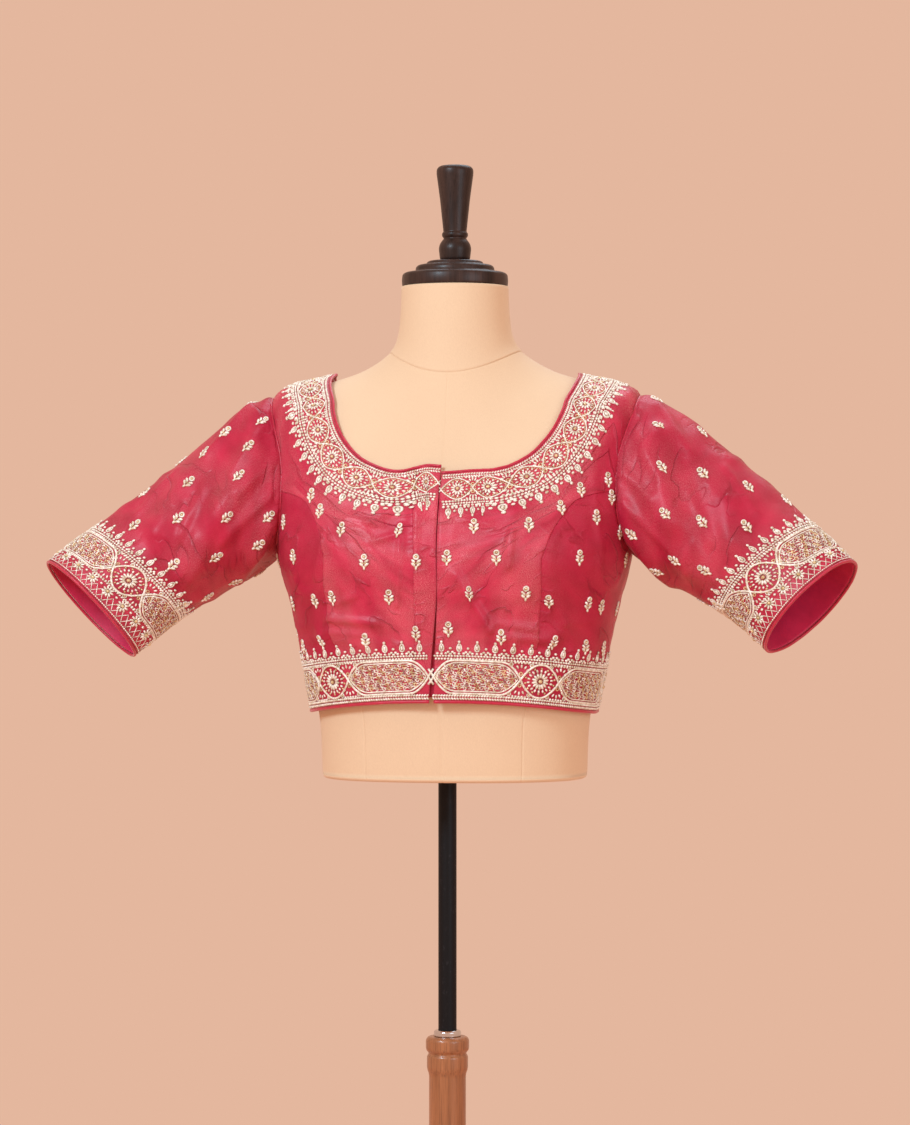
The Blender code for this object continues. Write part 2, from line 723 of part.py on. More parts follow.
def sleeve_out(side, phi, share):
    """The way out of a sleeve's wall."""
    turn = 0.01
    run = 0.01
    share = np.clip(share, run, 1 - run)
    round_it = sleeve_base(side, phi + turn, share) - sleeve_base(side, phi - turn, share)
    down = sleeve_base(side, phi, share + run) - sleeve_base(side, phi, share - run)
    out = np.cross(round_it, down) * side
    return out / np.linalg.norm(out, axis=-1, keepdims=True)


def sleeve_fold_height(side, phi, share):
    """How far the folds of a sleeve raise it."""
    folds = LEFT_SLEEVE_FOLDS if side > 0 else RIGHT_SLEEVE_FOLDS
    round_size = 0.060
    long_size = 0.240
    height = np.zeros(np.shape(phi))
    for angle0, share0, angle1, share1, width, rise in folds:
        ends = ((math.radians(angle0), share0), (math.radians(angle1), share1))
        across = (ends[1][0] - ends[0][0]) * round_size
        down = (share1 - share0) * long_size
        px = (np.mod(phi, 2 * math.pi) - ends[0][0]) * round_size
        pz = (share - share0) * long_size
        near = np.clip((px * across + pz * down) / (across**2 + down**2), 0, 1)
        off2 = (px - near * across) ** 2 + (pz - near * down) ** 2
        height = height + rise * np.exp(-off2 / (2 * width**2))
    fade = smooth_step(share, 0.0, 0.12) * (1 - smooth_step(share, 0.62, 0.76))
    return height * fade


def sleeve_point(side, phi, share, lift=0.0):
    """A point of a sleeve, on its inside, or lifted off that."""
    phi, share = np.broadcast_arrays(np.asarray(phi, float), np.asarray(share, float))
    above, below = (LEFT_SLEEVE if side > 0 else RIGHT_SLEEVE)[-2:]
    ease = below + (above - below) * smooth_step(np.cos(phi), 0, 1)
    ease = ease * np.sin(math.pi * np.clip(share, 0, 1)) ** 2
    out = ease + sleeve_fold_height(side, phi, share) + lift
    return sleeve_base(side, phi, share) + sleeve_out(side, phi, share) * out[..., None]


def sleeve_lengths(side, phis):
    """The length of the sleeve at angles round it."""
    points = sleeve_point(side, phis[:, None], np.linspace(0, 1, 31)[None])
    return np.linalg.norm(np.diff(points, axis=1), axis=2).sum(axis=1)


def closed_sheet(name, points, finish, thickness):
    """A tube of cloth whose last column meets its first."""
    made = cloth(name, points, finish, thickness)
    form = bmesh.new()
    form.from_mesh(made.data)
    bmesh.ops.remove_doubles(form, verts=form.verts, dist=0.00001)
    form.to_mesh(made.data)
    form.free()
    return made


def sleeves(silk, thread, piping):
    """Both sleeves, with their borders and pipings."""
    for side, name in ((1, "left"), (-1, "right")):
        phis = np.linspace(0, 2 * math.pi, SLEEVE_COLUMNS + 1)
        turned_way = phis if side > 0 else phis[::-1]
        shares = np.linspace(0, 1, SLEEVE_ROWS + 1)
        points = sleeve_point(side, turned_way[:, None], shares[::-1][None], WALL / 2)
        points[-1] = points[0]
        closed_sheet("sleeve_" + name, points, silk, WALL)
        sleeve_border(side, name, thread)
        cuff_piping(side, name, piping)


def sleeve_border(side, name, finish):
    """The raised border round a cuff, with its spikes towards the shoulder."""
    valley, tip = CUFF_BORDER[1:]
    round_it = np.linspace(0, 2 * math.pi, 61)
    rim = sleeve_point(side, round_it, np.ones(61), WALL)
    far = np.concatenate(((0,), np.cumsum(np.linalg.norm(np.diff(rim, axis=0), axis=1))))
    columns = 2 * round(far[-1] / SPIKE_PITCH)
    phis = np.interp(np.linspace(0, far[-1], columns + 1), far, round_it)
    if side < 0:
        phis = phis[::-1]
    long = sleeve_lengths(side, phis)
    edge = np.where(np.arange(columns + 1) % 2 == 0, valley, tip)
    inner = (np.full(columns + 1, BORDER_START), np.full(columns + 1, CUFF_BORDER[0]))
    reaches = np.stack((*inner, edge), 1)
    shares = 1 - reaches / long[:, None]
    points = sleeve_point(side, phis[:, None], shares, WALL + ON_CUFF + TRIM / 2)
    points[-1] = points[0]
    closed_sheet("cuff_border_" + name, points, finish, TRIM)


def cuff_piping(side, name, finish):
    """The cord covered in silk that closes a cuff."""
    count = 22
    phis = np.arange(count) * 2 * math.pi / count
    points = sleeve_point(side, phis, np.ones(count), WALL / 2)
    way = sleeve_frame(side)[0]
    points = points + way * (CUFF_PIPING_RADIUS + SEAM_GAP)
    tube("cuff_piping_" + name, points, CUFF_PIPING_RADIUS, finish, cyclic=True)


def tube(name, points, radius, finish, cyclic=False):
    """A round cord along some points."""
    curve = bpy.data.curves.new(name, "CURVE")
    curve.dimensions = "3D"
    curve.bevel_depth = radius
    curve.bevel_resolution = 1
    curve.use_fill_caps = not cyclic
    line = curve.splines.new("POLY")
    line.points.add(len(points) - 1)
    for place, point in zip(line.points, points):
        place.co = (*point, 1)
    line.use_cyclic_u = cyclic
    return put(name, curve, finish)


def walk(path, heading, distance, lift):
    """The points a distance from a path over the outer face, as angles and rows."""
    angle = path[:, 0].copy()
    row = path[:, 1].copy()
    distance = np.broadcast_to(np.asarray(distance, float), angle.shape)
    steps = 8
    for _ in range(steps):
        by_angle, by_row = slopes(angle, row)
        out = np.cross(by_angle, by_row)
        out = out / np.linalg.norm(out, axis=-1, keepdims=True)
        flat = heading - np.sum(heading * out, -1, keepdims=True) * out
        flat = flat / np.linalg.norm(flat, axis=-1, keepdims=True)
        aa = np.sum(by_angle * by_angle, -1)
        ab = np.sum(by_angle * by_row, -1)
        bb = np.sum(by_row * by_row, -1)
        fa = np.sum(by_angle * flat, -1)
        fb = np.sum(by_row * flat, -1)
        size = aa * bb - ab * ab
        angle = angle + (fa * bb - fb * ab) / size * distance / steps
        row = row + (fb * aa - fa * ab) / size * distance / steps
    return cloth_point(angle, row, lift)


def across_heading(path, towards):
    """The direction over the cloth that is square to a path, on its left or right."""
    points = outside(path[:, 0], path[:, 1])
    run = np.gradient(points, axis=0)
    by_angle, by_row = slopes(path[:, 0], path[:, 1])
    out = np.cross(by_angle, by_row)
    square = np.cross(out, run) * towards
    return square / np.linalg.norm(square, axis=-1, keepdims=True)


def neckline():
    """The whole neckline, from the right centre front round the back to the left centre front."""
    right = front_neck_path(RIGHT_EDGE[0], -1)
    back_right = back_neck_path(-1)[::-1]
    back_left = back_neck_path(1)
    left = front_neck_path(LEFT_EDGE[0], 1)[::-1]
    back_right[:, 0] = np.mod(back_right[:, 0], 2 * math.pi)
    right[:, 0] = np.mod(right[:, 0], 2 * math.pi)
    return np.concatenate((right, back_right[1:], back_left[1:], left[1:]))


def hem_round():
    """The whole hem, from the right centre front round the back to the left centre front."""
    start = 2 * math.pi + locate(RIGHT_EDGE[2], HEM_FRONT)[0]
    return hem_path(start, locate(LEFT_EDGE[2], HEM_FRONT)[0], 96)


def border(name, edge, towards, reaches, gap, finish):
    """A raised border along an edge, with its spikes away from it."""
    far = lengths(edge)
    columns = 2 * round(far[-1] / SPIKE_PITCH)
    wanted = np.linspace(PANEL_GAP, far[-1] - PANEL_GAP, columns + 1)
    path = np.stack([np.interp(wanted, far, edge[:, k]) for k in (0, 1)], -1)
    heading = across_heading(path, towards)
    spikes = np.where(np.arange(columns + 1) % 2 == 0, reaches[1], reaches[2])
    distances = (np.full(columns + 1, BORDER_START), np.full(columns + 1, reaches[0]), spikes)
    grid = np.stack([walk(path, heading, d, WALL + gap + TRIM / 2) for d in distances], 1)
    cloth(name, grid if towards > 0 else grid[:, ::-1], finish, TRIM)


def neck_points():
    """The corners of the panels' edges round the neckline, as neckline() runs."""
    across = np.linspace(RIGHT_EDGE[0], PLACKET_SEAM[0], 3)
    right = front_neck_path(PLACKET_SEAM[0], -1)
    back = back_neck_path(1)
    left = front_neck_path(LEFT_EDGE[0], 1)
    placket = locate(across, neck_height(across))
    right = spaced(right, round(lengths(right)[-1] / CELL))
    back = spaced(back, round(lengths(back)[-1] / BACK_CELL))
    left = spaced(left, round(lengths(left)[-1] / CELL))[::-1]
    other = back[::-1] * (-1, 1)
    for path in (placket, right, other):
        path[:, 0] = np.mod(path[:, 0], 2 * math.pi)
    return np.concatenate((placket, right[1:], other[1:], back[1:], left[1:]))


def edge_piping(name, path, towards, radius, finish):
    """A cord covered in silk along an edge of the body."""
    heading = -across_heading(path, towards)
    points = walk(path, heading, radius + SEAM_GAP, WALL / 2)
    tube(name, points, radius, finish)


def torso(finish):
    """The dress form, with a blind socket for the pole."""
    last = len(SECTIONS) - 1
    rows = np.linspace(0, last, TORSO_ROWS + 1)
    angles = np.arange(TORSO_COLUMNS) * 2 * math.pi / TORSO_COLUMNS
    body = form_point(angles[:, None], rows[None])
    inset = body[:, 0].copy()
    middle = inset.mean(axis=0)
    size = np.linalg.norm(inset - middle, axis=1, keepdims=True)
    inset = inset - (inset - middle) / size * BOTTOM_ROUND
    body[:, 0, 2] += BOTTOM_ROUND / 2
    rings = np.concatenate((inset[:, None], body), 1)
    count = rings.shape[1]
    form = bmesh.new()
    corners = [[form.verts.new(p) for p in column] for column in rings]
    for i, column in enumerate(corners):
        beside = corners[(i + 1) % TORSO_COLUMNS]
        for j in range(count - 1):
            form.faces.new((column[j], beside[j], beside[j + 1], column[j + 1]))
    form.faces.new([column[0] for column in reversed(corners)])
    form.faces.new([column[-1] for column in corners])
    mesh = bpy.data.meshes.new("form_torso")
    form.to_mesh(mesh)
    form.free()
    made = put("form_torso", mesh, finish)
    mesh.shade_smooth()
    cut = cylinder("pole_socket", POLE_RADIUS + POLE_CLEAR, POLE_TOP + SEAM_GAP, 0.80, CUTTERS)
    cut.hide_render = True
    cut.display_type = "WIRE"
    bore = made.modifiers.new("socket", "BOOLEAN")
    bore.operation = "DIFFERENCE"
    bore.object = cut
    return made


def cylinder(name, radius, top, bottom, collection, finish=None):
    """A round bar on the axis of the pole."""
    form = bmesh.new()
    bmesh.ops.create_cone(
        form, cap_ends=True, segments=ROUND_STEPS, radius1=radius, radius2=radius, depth=top - bottom
    )
    mesh = bpy.data.meshes.new(name)
    form.to_mesh(mesh)
    form.free()
    mesh.shade_smooth()
    mesh.set_sharp_from_angle(angle=math.radians(40))
    made = bpy.data.objects.new(name, mesh)
    made.location = (0, 0, (top + bottom) / 2)
    if finish:
        made.data.materials.append(finish)
    collection.objects.link(made)
    return made


def bored(name, profile, bottom, finish):
    """A turned piece with a bore for the pole down to a height."""
    radius = POLE_RADIUS + POLE_CLEAR
    top = profile[0][1]
    last = profile[-1][1]
    if bottom > last:
        points = [(radius, top), *profile, (0, last), (0, bottom), (radius, bottom)]
    else:
        points = [(radius, top), *profile, (radius, last)]
    mesh = bpy.data.meshes.new(name)
    count = len(points)
    pairs = [(i, (i + 1) % count) for i in range(count)]
    edges = [pair for pair in pairs if points[pair[0]][0] or points[pair[1]][0]]
    mesh.from_pydata([(r, 0, z) for r, z in points], [], [])
    mesh.edges.add(len(edges))
    mesh.edges.foreach_set("vertices", [k for e in edges for k in e])
    return screw(put(name, mesh, finish), ROUND_STEPS)


def stand():
    """The pole, its ferrule, the column and the base."""
    metal = material("black_metal", BLACK_METAL, 0.35, 0.6)
    chrome = material("chrome", CHROME, 0.15, 1.0)
    wood = material("honey_wood", HONEY_WOOD, 0.3)
    cylinder("pole", POLE_RADIUS, POLE_TOP, POLE_BOTTOM, PARTS, metal)
    low = COLUMN_TOP + SEAM_GAP
    ferrule = (
        (FERRULE_RADIUS - 0.0015, low + FERRULE_HEIGHT),
        (FERRULE_RADIUS, low + FERRULE_HEIGHT - 0.0015),
        (FERRULE_RADIUS, low),
    )
    bored("ferrule", ferrule, low, chrome)
    bored("column", COLUMN_PROFILE, BORE_BOTTOM, wood)
    turned("base", BASE_PROFILE, wood, BASE_STEPS)


def build():
    """The whole part."""
    silk = material("silk", SILK, 0.42)
    lining = material("silk_dark", SILK_DARK, 0.5)
    thread = material("zardozi", ZARDOZI, 0.4, 0.5)
    jersey = material("jersey", JERSEY, 0.8)
    dark_wood = material("dark_wood", DARK_WOOD, 0.2)
    torso(jersey)
    turned("neck_cap", CAP_PROFILE, dark_wood, ROUND_STEPS)
    turned("finial", FINIAL_PROFILE, dark_wood, ROUND_STEPS)
    for name in ("neck_cap", "finial"):
        PARTS.objects[name].location = FORM_AXIS
    stand()
    centre_fronts(silk)
    placket(silk)
    underlap(lining)
    side_fronts(silk)
    back(silk)
    sleeves(silk, thread, lining)
    border("neck_border", neckline(), 1, NECK_BORDER, ON_NECK, thread)
    border("hem_border", hem_round(), -1, HEM_BORDER, ON_HEM, thread)
    edge_piping("neck_piping", neck_points(), 1, NECK_PIPING_RADIUS, lining)
    hem = hem_round()
    hem = spaced(hem, round(lengths(hem)[-1] / PIPING_STEP))
    edge_piping("hem_piping", hem, -1, HEM_PIPING_RADIUS, lining)


for old in list(bpy.data.objects):
    bpy.data.objects.remove(old, do_unlink=True)
PARTS = bpy.data.collections.new(NAME)
CUTTERS = bpy.data.collections.new(NAME + "_cutters")
bpy.context.scene.collection.children.link(PARTS)
bpy.context.scene.collection.children.link(CUTTERS)
build()
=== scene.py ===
"""Looks of a crimson silk choli blouse with metal thread borders, on a dress form and its stand.

Metres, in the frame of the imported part: the blouse faces -Y, and the wearer's left is +X.
"""

import math

import bpy
import mathutils
import numpy as np
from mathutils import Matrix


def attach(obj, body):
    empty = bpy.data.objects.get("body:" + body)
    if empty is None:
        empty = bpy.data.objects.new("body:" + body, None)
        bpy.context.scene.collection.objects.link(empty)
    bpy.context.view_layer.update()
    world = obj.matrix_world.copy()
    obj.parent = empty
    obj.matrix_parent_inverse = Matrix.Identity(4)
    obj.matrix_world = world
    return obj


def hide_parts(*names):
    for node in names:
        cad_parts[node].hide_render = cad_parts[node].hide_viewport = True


# Where the form's own axis stands from the pole's
FORM_AXIS = np.array((0.006, 0.012, 0.0))

# Cross sections of the dress form, from the bottom up. Each runs round the form and dips at the
# front and back from its height at the side. Depths are measured from the form's axis.
# front_z, side_z, back_z, half_width, front_depth, back_depth, shift back of the widest point, squareness
SECTIONS = (
    (0.9155, 0.9155, 0.9155, 0.132, 0.098, 0.088, 0.0, 2.3),
    (0.975, 0.975, 0.975, 0.135, 0.102, 0.09, 0.0, 2.3),
    (1.04, 1.04, 1.04, 0.1465, 0.108, 0.094, 0.0, 2.35),
    (1.09, 1.09, 1.09, 0.157, 0.111, 0.099, 0.0, 2.4),
    (1.13, 1.13, 1.13, 0.168, 0.112, 0.104, 0.0, 2.45),
    (1.162, 1.175, 1.165, 0.1745, 0.11, 0.108, 0.004, 2.45),
    (1.185, 1.235, 1.2, 0.179, 0.105, 0.11, 0.008, 2.4),
    (1.205, 1.29, 1.235, 0.181, 0.098, 0.107, 0.012, 2.3),
    (1.222, 1.304, 1.255, 0.162, 0.091, 0.1, 0.017, 2.25),
    (1.25, 1.3125, 1.285, 0.126, 0.079, 0.089, 0.02, 2.15),
    (1.28, 1.324, 1.315, 0.092, 0.068, 0.078, 0.018, 2.05),
    (1.317, 1.341, 1.352, 0.066, 0.058, 0.064, 0.01, 2.0),
    (1.35, 1.357, 1.365, 0.0575, 0.055, 0.057, 0.004, 2.0),
    (1.38, 1.38, 1.381, 0.0545, 0.054, 0.055, 0.001, 2.0),
    (1.4055, 1.4055, 1.4055, 0.0535, 0.0535, 0.0535, 0.0, 2.0),
)
BOTTOM_ROUND = 0.004

# The cups of the form: place, reach and swell
CUP_X = 0.085
CUP_Z = 1.135
CUP_SIGMA_X = 0.050
CUP_SIGMA_Z = 0.045
CUP_SWELL = 0.0225

# Cloth
WALL = 0.0015
SNUG = 0.0013
SEAM_GAP = 0.0003
ARMHOLE_LIFT = 0.0011
SIDE_EASE = 0.0034
HEM_EASE = 0.0075
BACK_EASE = 0.0030
BACK_SNUG = 0.0014
BRIDGE = 0.0060
RIDGE_EASE = 0.0027
CHEST_EASE = 0.0016
CENTRE_EASE = 0.0024

# Where the cloth eases off the form: heights between which an ease fades, or a reach and its middle
UNDER_ARM_FADE = (1.130, 1.250)
RIDGE_FADE = (1.225, 1.285)
HEM_FADE = (0.990, 1.095)
BACK_FADE = (1.020, 1.180)
CHEST_PLACE = (0.020, 1.197)
BRIDGE_PLACE_X = (0.045, 0.0)
BRIDGE_PLACE_Z = (0.055, 1.125)
CENTRE_PLACE = (0.030, 0.0)
# Cosines of the angle round, between which something of the front fades in
FRONT_FADE = (0.1, 0.5)

# Height of the blouse's bottom edge at the centre front, the sides and the back
HEM_FRONT = 0.9975
HEM_SIDE = 0.9840
HEM_BACK = 0.9810

# Front neckline, half width and height, from the centre to the shoulder
FRONT_NECK = (
    (0.052, 1.219), (0.067, 1.2235), (0.083, 1.232), (0.099, 1.2475), (0.109, 1.263), (0.1155, 1.28),
    (0.12, 1.296),
)
FRONT_NECK_CENTRE = 1.2160
# Back neckline, in the same way
BACK_NECK = (
    (0.05, 1.239), (0.08, 1.25), (0.102, 1.27), (0.114, 1.288),
)
BACK_NECK_CENTRE = 1.2350
NECK_POINT_X = 0.1245
# The free corner of the placket stands a little up
CORNER_RISE = 0.0065
CORNER_FADE = (-0.036, -0.018)

# Armhole, as angles round the form and rows of the section table
ARMHOLE_ROW = 5.72
ARMHOLE_HALF_ROWS = 1.38
ARMHOLE_FRONT_REACH = math.radians(26.5)
ARMHOLE_BACK_REACH = math.radians(27.0)
PRINCESS_ANGLE = math.radians(98)

# Princess seams from the armhole down: height, distance from the centre on the left and the right
PRINCESS = (
    (1.1935, 0.136, 0.142), (1.18, 0.122, 0.129), (1.1605, 0.1096, 0.1187), (1.143, 0.1034, 0.115),
    (1.1285, 0.0999, 0.1145), (1.094, 0.0986, 0.114), (1.055, 0.0951, 0.109), (1.038, 0.093, 0.102),
)
PRINCESS_HEM_LEFT = 0.0900
PRINCESS_HEM_RIGHT = 0.0980

# Centre front edges, distance from the centre at the neck, the middle and the hem
LEFT_EDGE = (0.0002, -0.0010, -0.0055)
RIGHT_EDGE = (-0.0006, -0.0018, -0.0100)
PLACKET_SEAM = (-0.0235, -0.0235, -0.0245)
UNDERLAP_HALF_WIDTH = 0.014
UNDERLAP_TOP = 1.195
UNDERLAP_WALL = 0.0010
UNDERLAP_GAP = 0.0015

# Soft folds raised in the fronts: start x and z, end x and z, width, height
BODY_FOLDS = (
    (0.016, 1.12, 0.046, 1.068, 0.006, 0.003),
    (0.073, 1.16, 0.07, 1.128, 0.0055, 0.0022),
    (-0.105, 1.078, -0.055, 1.07, 0.0055, 0.0022),
    (-0.118, 1.06, -0.07, 1.052, 0.005, 0.002),
    (0.06, 1.056, 0.11, 1.062, 0.0055, 0.0022),
    (-0.07, 1.18, -0.02, 1.172, 0.005, 0.0014),
    (0.03, 1.17, 0.08, 1.178, 0.005, 0.0014),
)

# Sleeves, from the form's axis, and the way that they point
# centre x, y and z, half height, half depth of the cuff, ease above and below halfway along the sleeve
LEFT_SLEEVE = (0.3545, -0.060, 1.0885, 0.0590, 0.0440, -0.0035, -0.0035)
RIGHT_SLEEVE = (0.3560, -0.060, 1.0850, 0.0625, 0.0440, -0.0110, -0.0035)
SLEEVE_DROP = math.radians(44.5)
SLEEVE_FORWARD = math.radians(20.5)
SLEEVE_TENSION = 0.20
SLEEVE_SAG = 0.75
SLEEVE_OUT = 0.55
SLEEVE_OUT_BELOW = 0.25
SLEEVE_ALONG = 0.75
# Radius and length that turn a fold's angles and shares into distances over the sleeve
SLEEVE_ROUND = 0.060
SLEEVE_LONG = 0.240

# Folds of the sleeves: start angle round and share of the length, end angle and share, width, height
LEFT_SLEEVE_FOLDS = (
    (48, 0.16, 96, 0.34, 0.009, 0.0055), (96, 0.22, 132, 0.42, 0.0085, 0.005),
    (60, 0.52, 112, 0.66, 0.008, 0.0035), (120, 0.05, 170, 0.3, 0.009, 0.005),
    (230, 0.1, 262, 0.36, 0.009, 0.005), (262, 0.4, 300, 0.62, 0.0085, 0.0035),
)
RIGHT_SLEEVE_FOLDS = (
    (62, 0.1, 104, 0.3, 0.009, 0.0055), (84, 0.3, 126, 0.56, 0.009, 0.005),
    (40, 0.34, 70, 0.6, 0.0085, 0.003), (124, 0.06, 170, 0.28, 0.009, 0.005),
    (236, 0.12, 270, 0.4, 0.009, 0.005), (258, 0.48, 296, 0.66, 0.0085, 0.0035),
)

# Covered cords along the edges
NECK_PIPING_RADIUS = 0.0014
HEM_PIPING_RADIUS = 0.0018
CUFF_PIPING_RADIUS = 0.0015
PIPING_STEP = 0.0025
# Seam allowances under the armholes
ROLL_RADIUS = 0.0012
ROLL_LIFT = 0.0004

# Turned and metal parts, as radius and height from the top down
FINIAL_PROFILE = (
    (0.0, 1.5275), (0.015, 1.5265), (0.0183, 1.5235), (0.0185, 1.519), (0.015, 1.493), (0.0116, 1.4605),
    (0.013, 1.459), (0.013, 1.456), (0.011, 1.454), (0.015, 1.449), (0.0163, 1.444), (0.0149, 1.4316),
    (0.0, 1.4316),
)
CAP_PROFILE = (
    (0.0, 1.4313), (0.026, 1.4313), (0.028, 1.43), (0.0285, 1.4282), (0.037, 1.427), (0.0392, 1.4248),
    (0.0396, 1.4206), (0.05, 1.4195), (0.0526, 1.4175), (0.0532, 1.412), (0.0528, 1.4058),
    (0.0, 1.4058),
)
POLE_RADIUS = 0.0091
POLE_CLEAR = 0.0004
POLE_BOTTOM = 0.370
POLE_TOP = 0.960
BORE_BOTTOM = 0.130
FERRULE_RADIUS = 0.0135
FERRULE_HEIGHT = 0.0060
COLUMN_TOP = 0.6580
COLUMN_PROFILE = (
    (0.019, 0.658), (0.0216, 0.655), (0.0216, 0.645), (0.0184, 0.6412), (0.0205, 0.6385),
    (0.0205, 0.626), (0.0184, 0.6205), (0.0184, 0.12), (0.025, 0.08), (0.038, 0.052), (0.04, 0.044),
    (0.04, 0.0343),
)
BASE_PROFILE = (
    (0.0, 0.034), (0.06, 0.034), (0.16, 0.0285), (0.179, 0.0255), (0.185, 0.019), (0.185, 0.005),
    (0.181, 0.0), (0.0, 0.0),
)

SIDES = ((1, "left"), (-1, "right"))

# Searches for a place on the cloth: steps, furthest turn and rise of a step, and the form's usual depth
SEARCH_STEPS = 24
SEARCH_TURN = 0.12
SEARCH_RISE = 0.5
USUAL_DEPTH = 0.11
# Angle and rows over which the slopes of a surface are read
TURN_STEP = 0.004
ROW_STEP = 0.01
# How firmly a panel's inside keeps to its side edges, beside its top and bottom
TOP_HOLD = 3


def smooth_step(value, low, high):
    """From 0 at low to 1 at high, with soft ends."""
    share = np.clip((np.asarray(value, float) - low) / (high - low), 0, 1)
    return share * share * (3 - 2 * share)


def bump(value, reach, middle=0.0):
    """1 at a middle, fading to both sides over a reach."""
    return np.exp(-(((value - middle) / reach) ** 2))


def unit(vectors):
    """Vectors at length 1."""
    return vectors / np.linalg.norm(vectors, axis=-1, keepdims=True)


def run_up(steps):
    """The distance gone at the start and after each of some steps."""
    return np.concatenate(((0,), np.cumsum(steps)))


def evenly(count):
    """Angles evenly round a circle."""
    return np.arange(count) * 2 * math.pi / count


def hermite(share, start, leave, end, arrive):
    """A smooth curve between two values, with its slopes at both, at a share of the way."""
    s2 = share * share
    s3 = s2 * share
    return (
        (2 * s3 - 3 * s2 + 1) * start
        + (s3 - 2 * s2 + share) * leave
        + (3 * s2 - 2 * s3) * end
        + (s3 - s2) * arrive
    )


def along(rows, place):
    """The values of a table between its rows, on a smooth curve, at a row number."""
    rows = np.asarray(rows, float)
    last = len(rows) - 1
    place = np.clip(np.asarray(place, float), 0, last)
    here = np.minimum(place.astype(int), last - 1)
    share = (place - here)[..., None]
    p0 = rows[np.maximum(here - 1, 0)]
    p1 = rows[here]
    p2 = rows[here + 1]
    p3 = rows[np.minimum(here + 2, last)]
    first = (here == 0)[..., None]
    final = (here == last - 1)[..., None]
    m1 = np.where(first, p2 - p1, (p2 - p0) / 2)
    m2 = np.where(final, p2 - p1, (p3 - p1) / 2)
    return hermite(share, p1, m1, p2, m2)


def form_point(angle, row):
    """A point of the form. The angle is 0 at the front, 90 degrees at the wearer's left."""
    angle, row = np.broadcast_arrays(np.asarray(angle, float), np.asarray(row, float))
    front_z, side_z, back_z, half, front, back, shift, square = np.moveaxis(along(SECTIONS, row), -1, 0)
    sine = np.sin(angle)
    cosine = np.cos(angle)
    ahead = cosine >= 0
    x = half * np.sign(sine) * np.abs(sine) ** (2 / square)
    reach = np.where(ahead, -(front + shift), back - shift)
    y = shift + reach * np.abs(cosine) ** (2 / square)
    z = side_z + (np.where(ahead, front_z, back_z) - side_z) * cosine**2
    fade = smooth_step(cosine, 0.0, 0.4)
    for side in (-1, 1):
        across = (x - side * CUP_X) / CUP_SIGMA_X
        up = (z - CUP_Z) / CUP_SIGMA_Z
        y = y - CUP_SWELL * fade * np.exp(-0.5 * (across**2 + up**2))
    return np.stack((x, y, z), -1) + FORM_AXIS


def form_normal(angle, row):
    """The way out of the form at a point."""
    row = np.clip(row, ROW_STEP, len(SECTIONS) - 1 - ROW_STEP)
    round_it = form_point(angle + TURN_STEP, row) - form_point(angle - TURN_STEP, row)
    up = form_point(angle, row + ROW_STEP) - form_point(angle, row - ROW_STEP)
    return unit(np.cross(round_it, up))


def fold_height(x, z, folds):
    """How far soft straight folds raise the cloth at a place seen from the front."""
    height = np.zeros(np.shape(x))
    for x0, z0, x1, z1, width, rise in folds:
        length2 = (x1 - x0) ** 2 + (z1 - z0) ** 2
        share = ((x - x0) * (x1 - x0) + (z - z0) * (z1 - z0)) / length2
        near = np.clip(share, 0, 1)
        off2 = (x - x0 - near * (x1 - x0)) ** 2 + (z - z0 - near * (z1 - z0)) ** 2
        height = height + rise * np.exp(-off2 / (2 * width**2))
    return height


def stand_off(angle, row):
    """How far the inside of the cloth is from the form."""
    x, _, z = np.moveaxis(form_point(angle, row) - FORM_AXIS, -1, 0)
    sides = np.sin(angle) ** 4
    ahead = np.clip(np.cos(angle), 0, 1)
    behind = np.clip(-np.cos(angle), 0, 1)
    gap = SNUG + SIDE_EASE * sides * (1 - smooth_step(z, *UNDER_ARM_FADE))
    gap = gap + BACK_SNUG * smooth_step(-np.cos(angle), -0.1, 0.3)
    gap = gap + RIDGE_EASE * sides * smooth_step(z, *RIDGE_FADE)
    gap = gap + CHEST_EASE * ahead**0.5 * bump(z, *CHEST_PLACE)
    gap = gap + HEM_EASE * ahead**0.8 * (1 - smooth_step(z, *HEM_FADE))
    gap = gap + BACK_EASE * behind * (1 - smooth_step(z, *BACK_FADE))
    gap = gap + BRIDGE * ahead**2 * bump(x, *BRIDGE_PLACE_X) * bump(z, *BRIDGE_PLACE_Z)
    gap = gap + CENTRE_EASE * smooth_step(ahead, 0.2, 0.6) * bump(x, *CENTRE_PLACE)
    return gap + smooth_step(ahead, *FRONT_FADE) * fold_height(x, z, BODY_FOLDS)


def cloth_point(angle, row, lift=0.0):
    """A point of the blouse's body, on its inside, or lifted off that."""
    angle, row = np.broadcast_arrays(np.asarray(angle, float), np.asarray(row, float))
    out = stand_off(angle, row) + lift
    return form_point(angle, row) + form_normal(angle, row) * out[..., None]


def outside(angle, row):
    """A point of the cloth's outer face, from the form's axis."""
    return cloth_point(angle, row, WALL) - FORM_AXIS


def slopes(angle, row):
    """How the outer face moves with the angle and with the row."""
    by_angle = outside(angle + TURN_STEP, row) - outside(angle - TURN_STEP, row)
    by_row = outside(angle, row + ROW_STEP) - outside(angle, row - ROW_STEP)
    return by_angle / (2 * TURN_STEP), by_row / (2 * ROW_STEP)


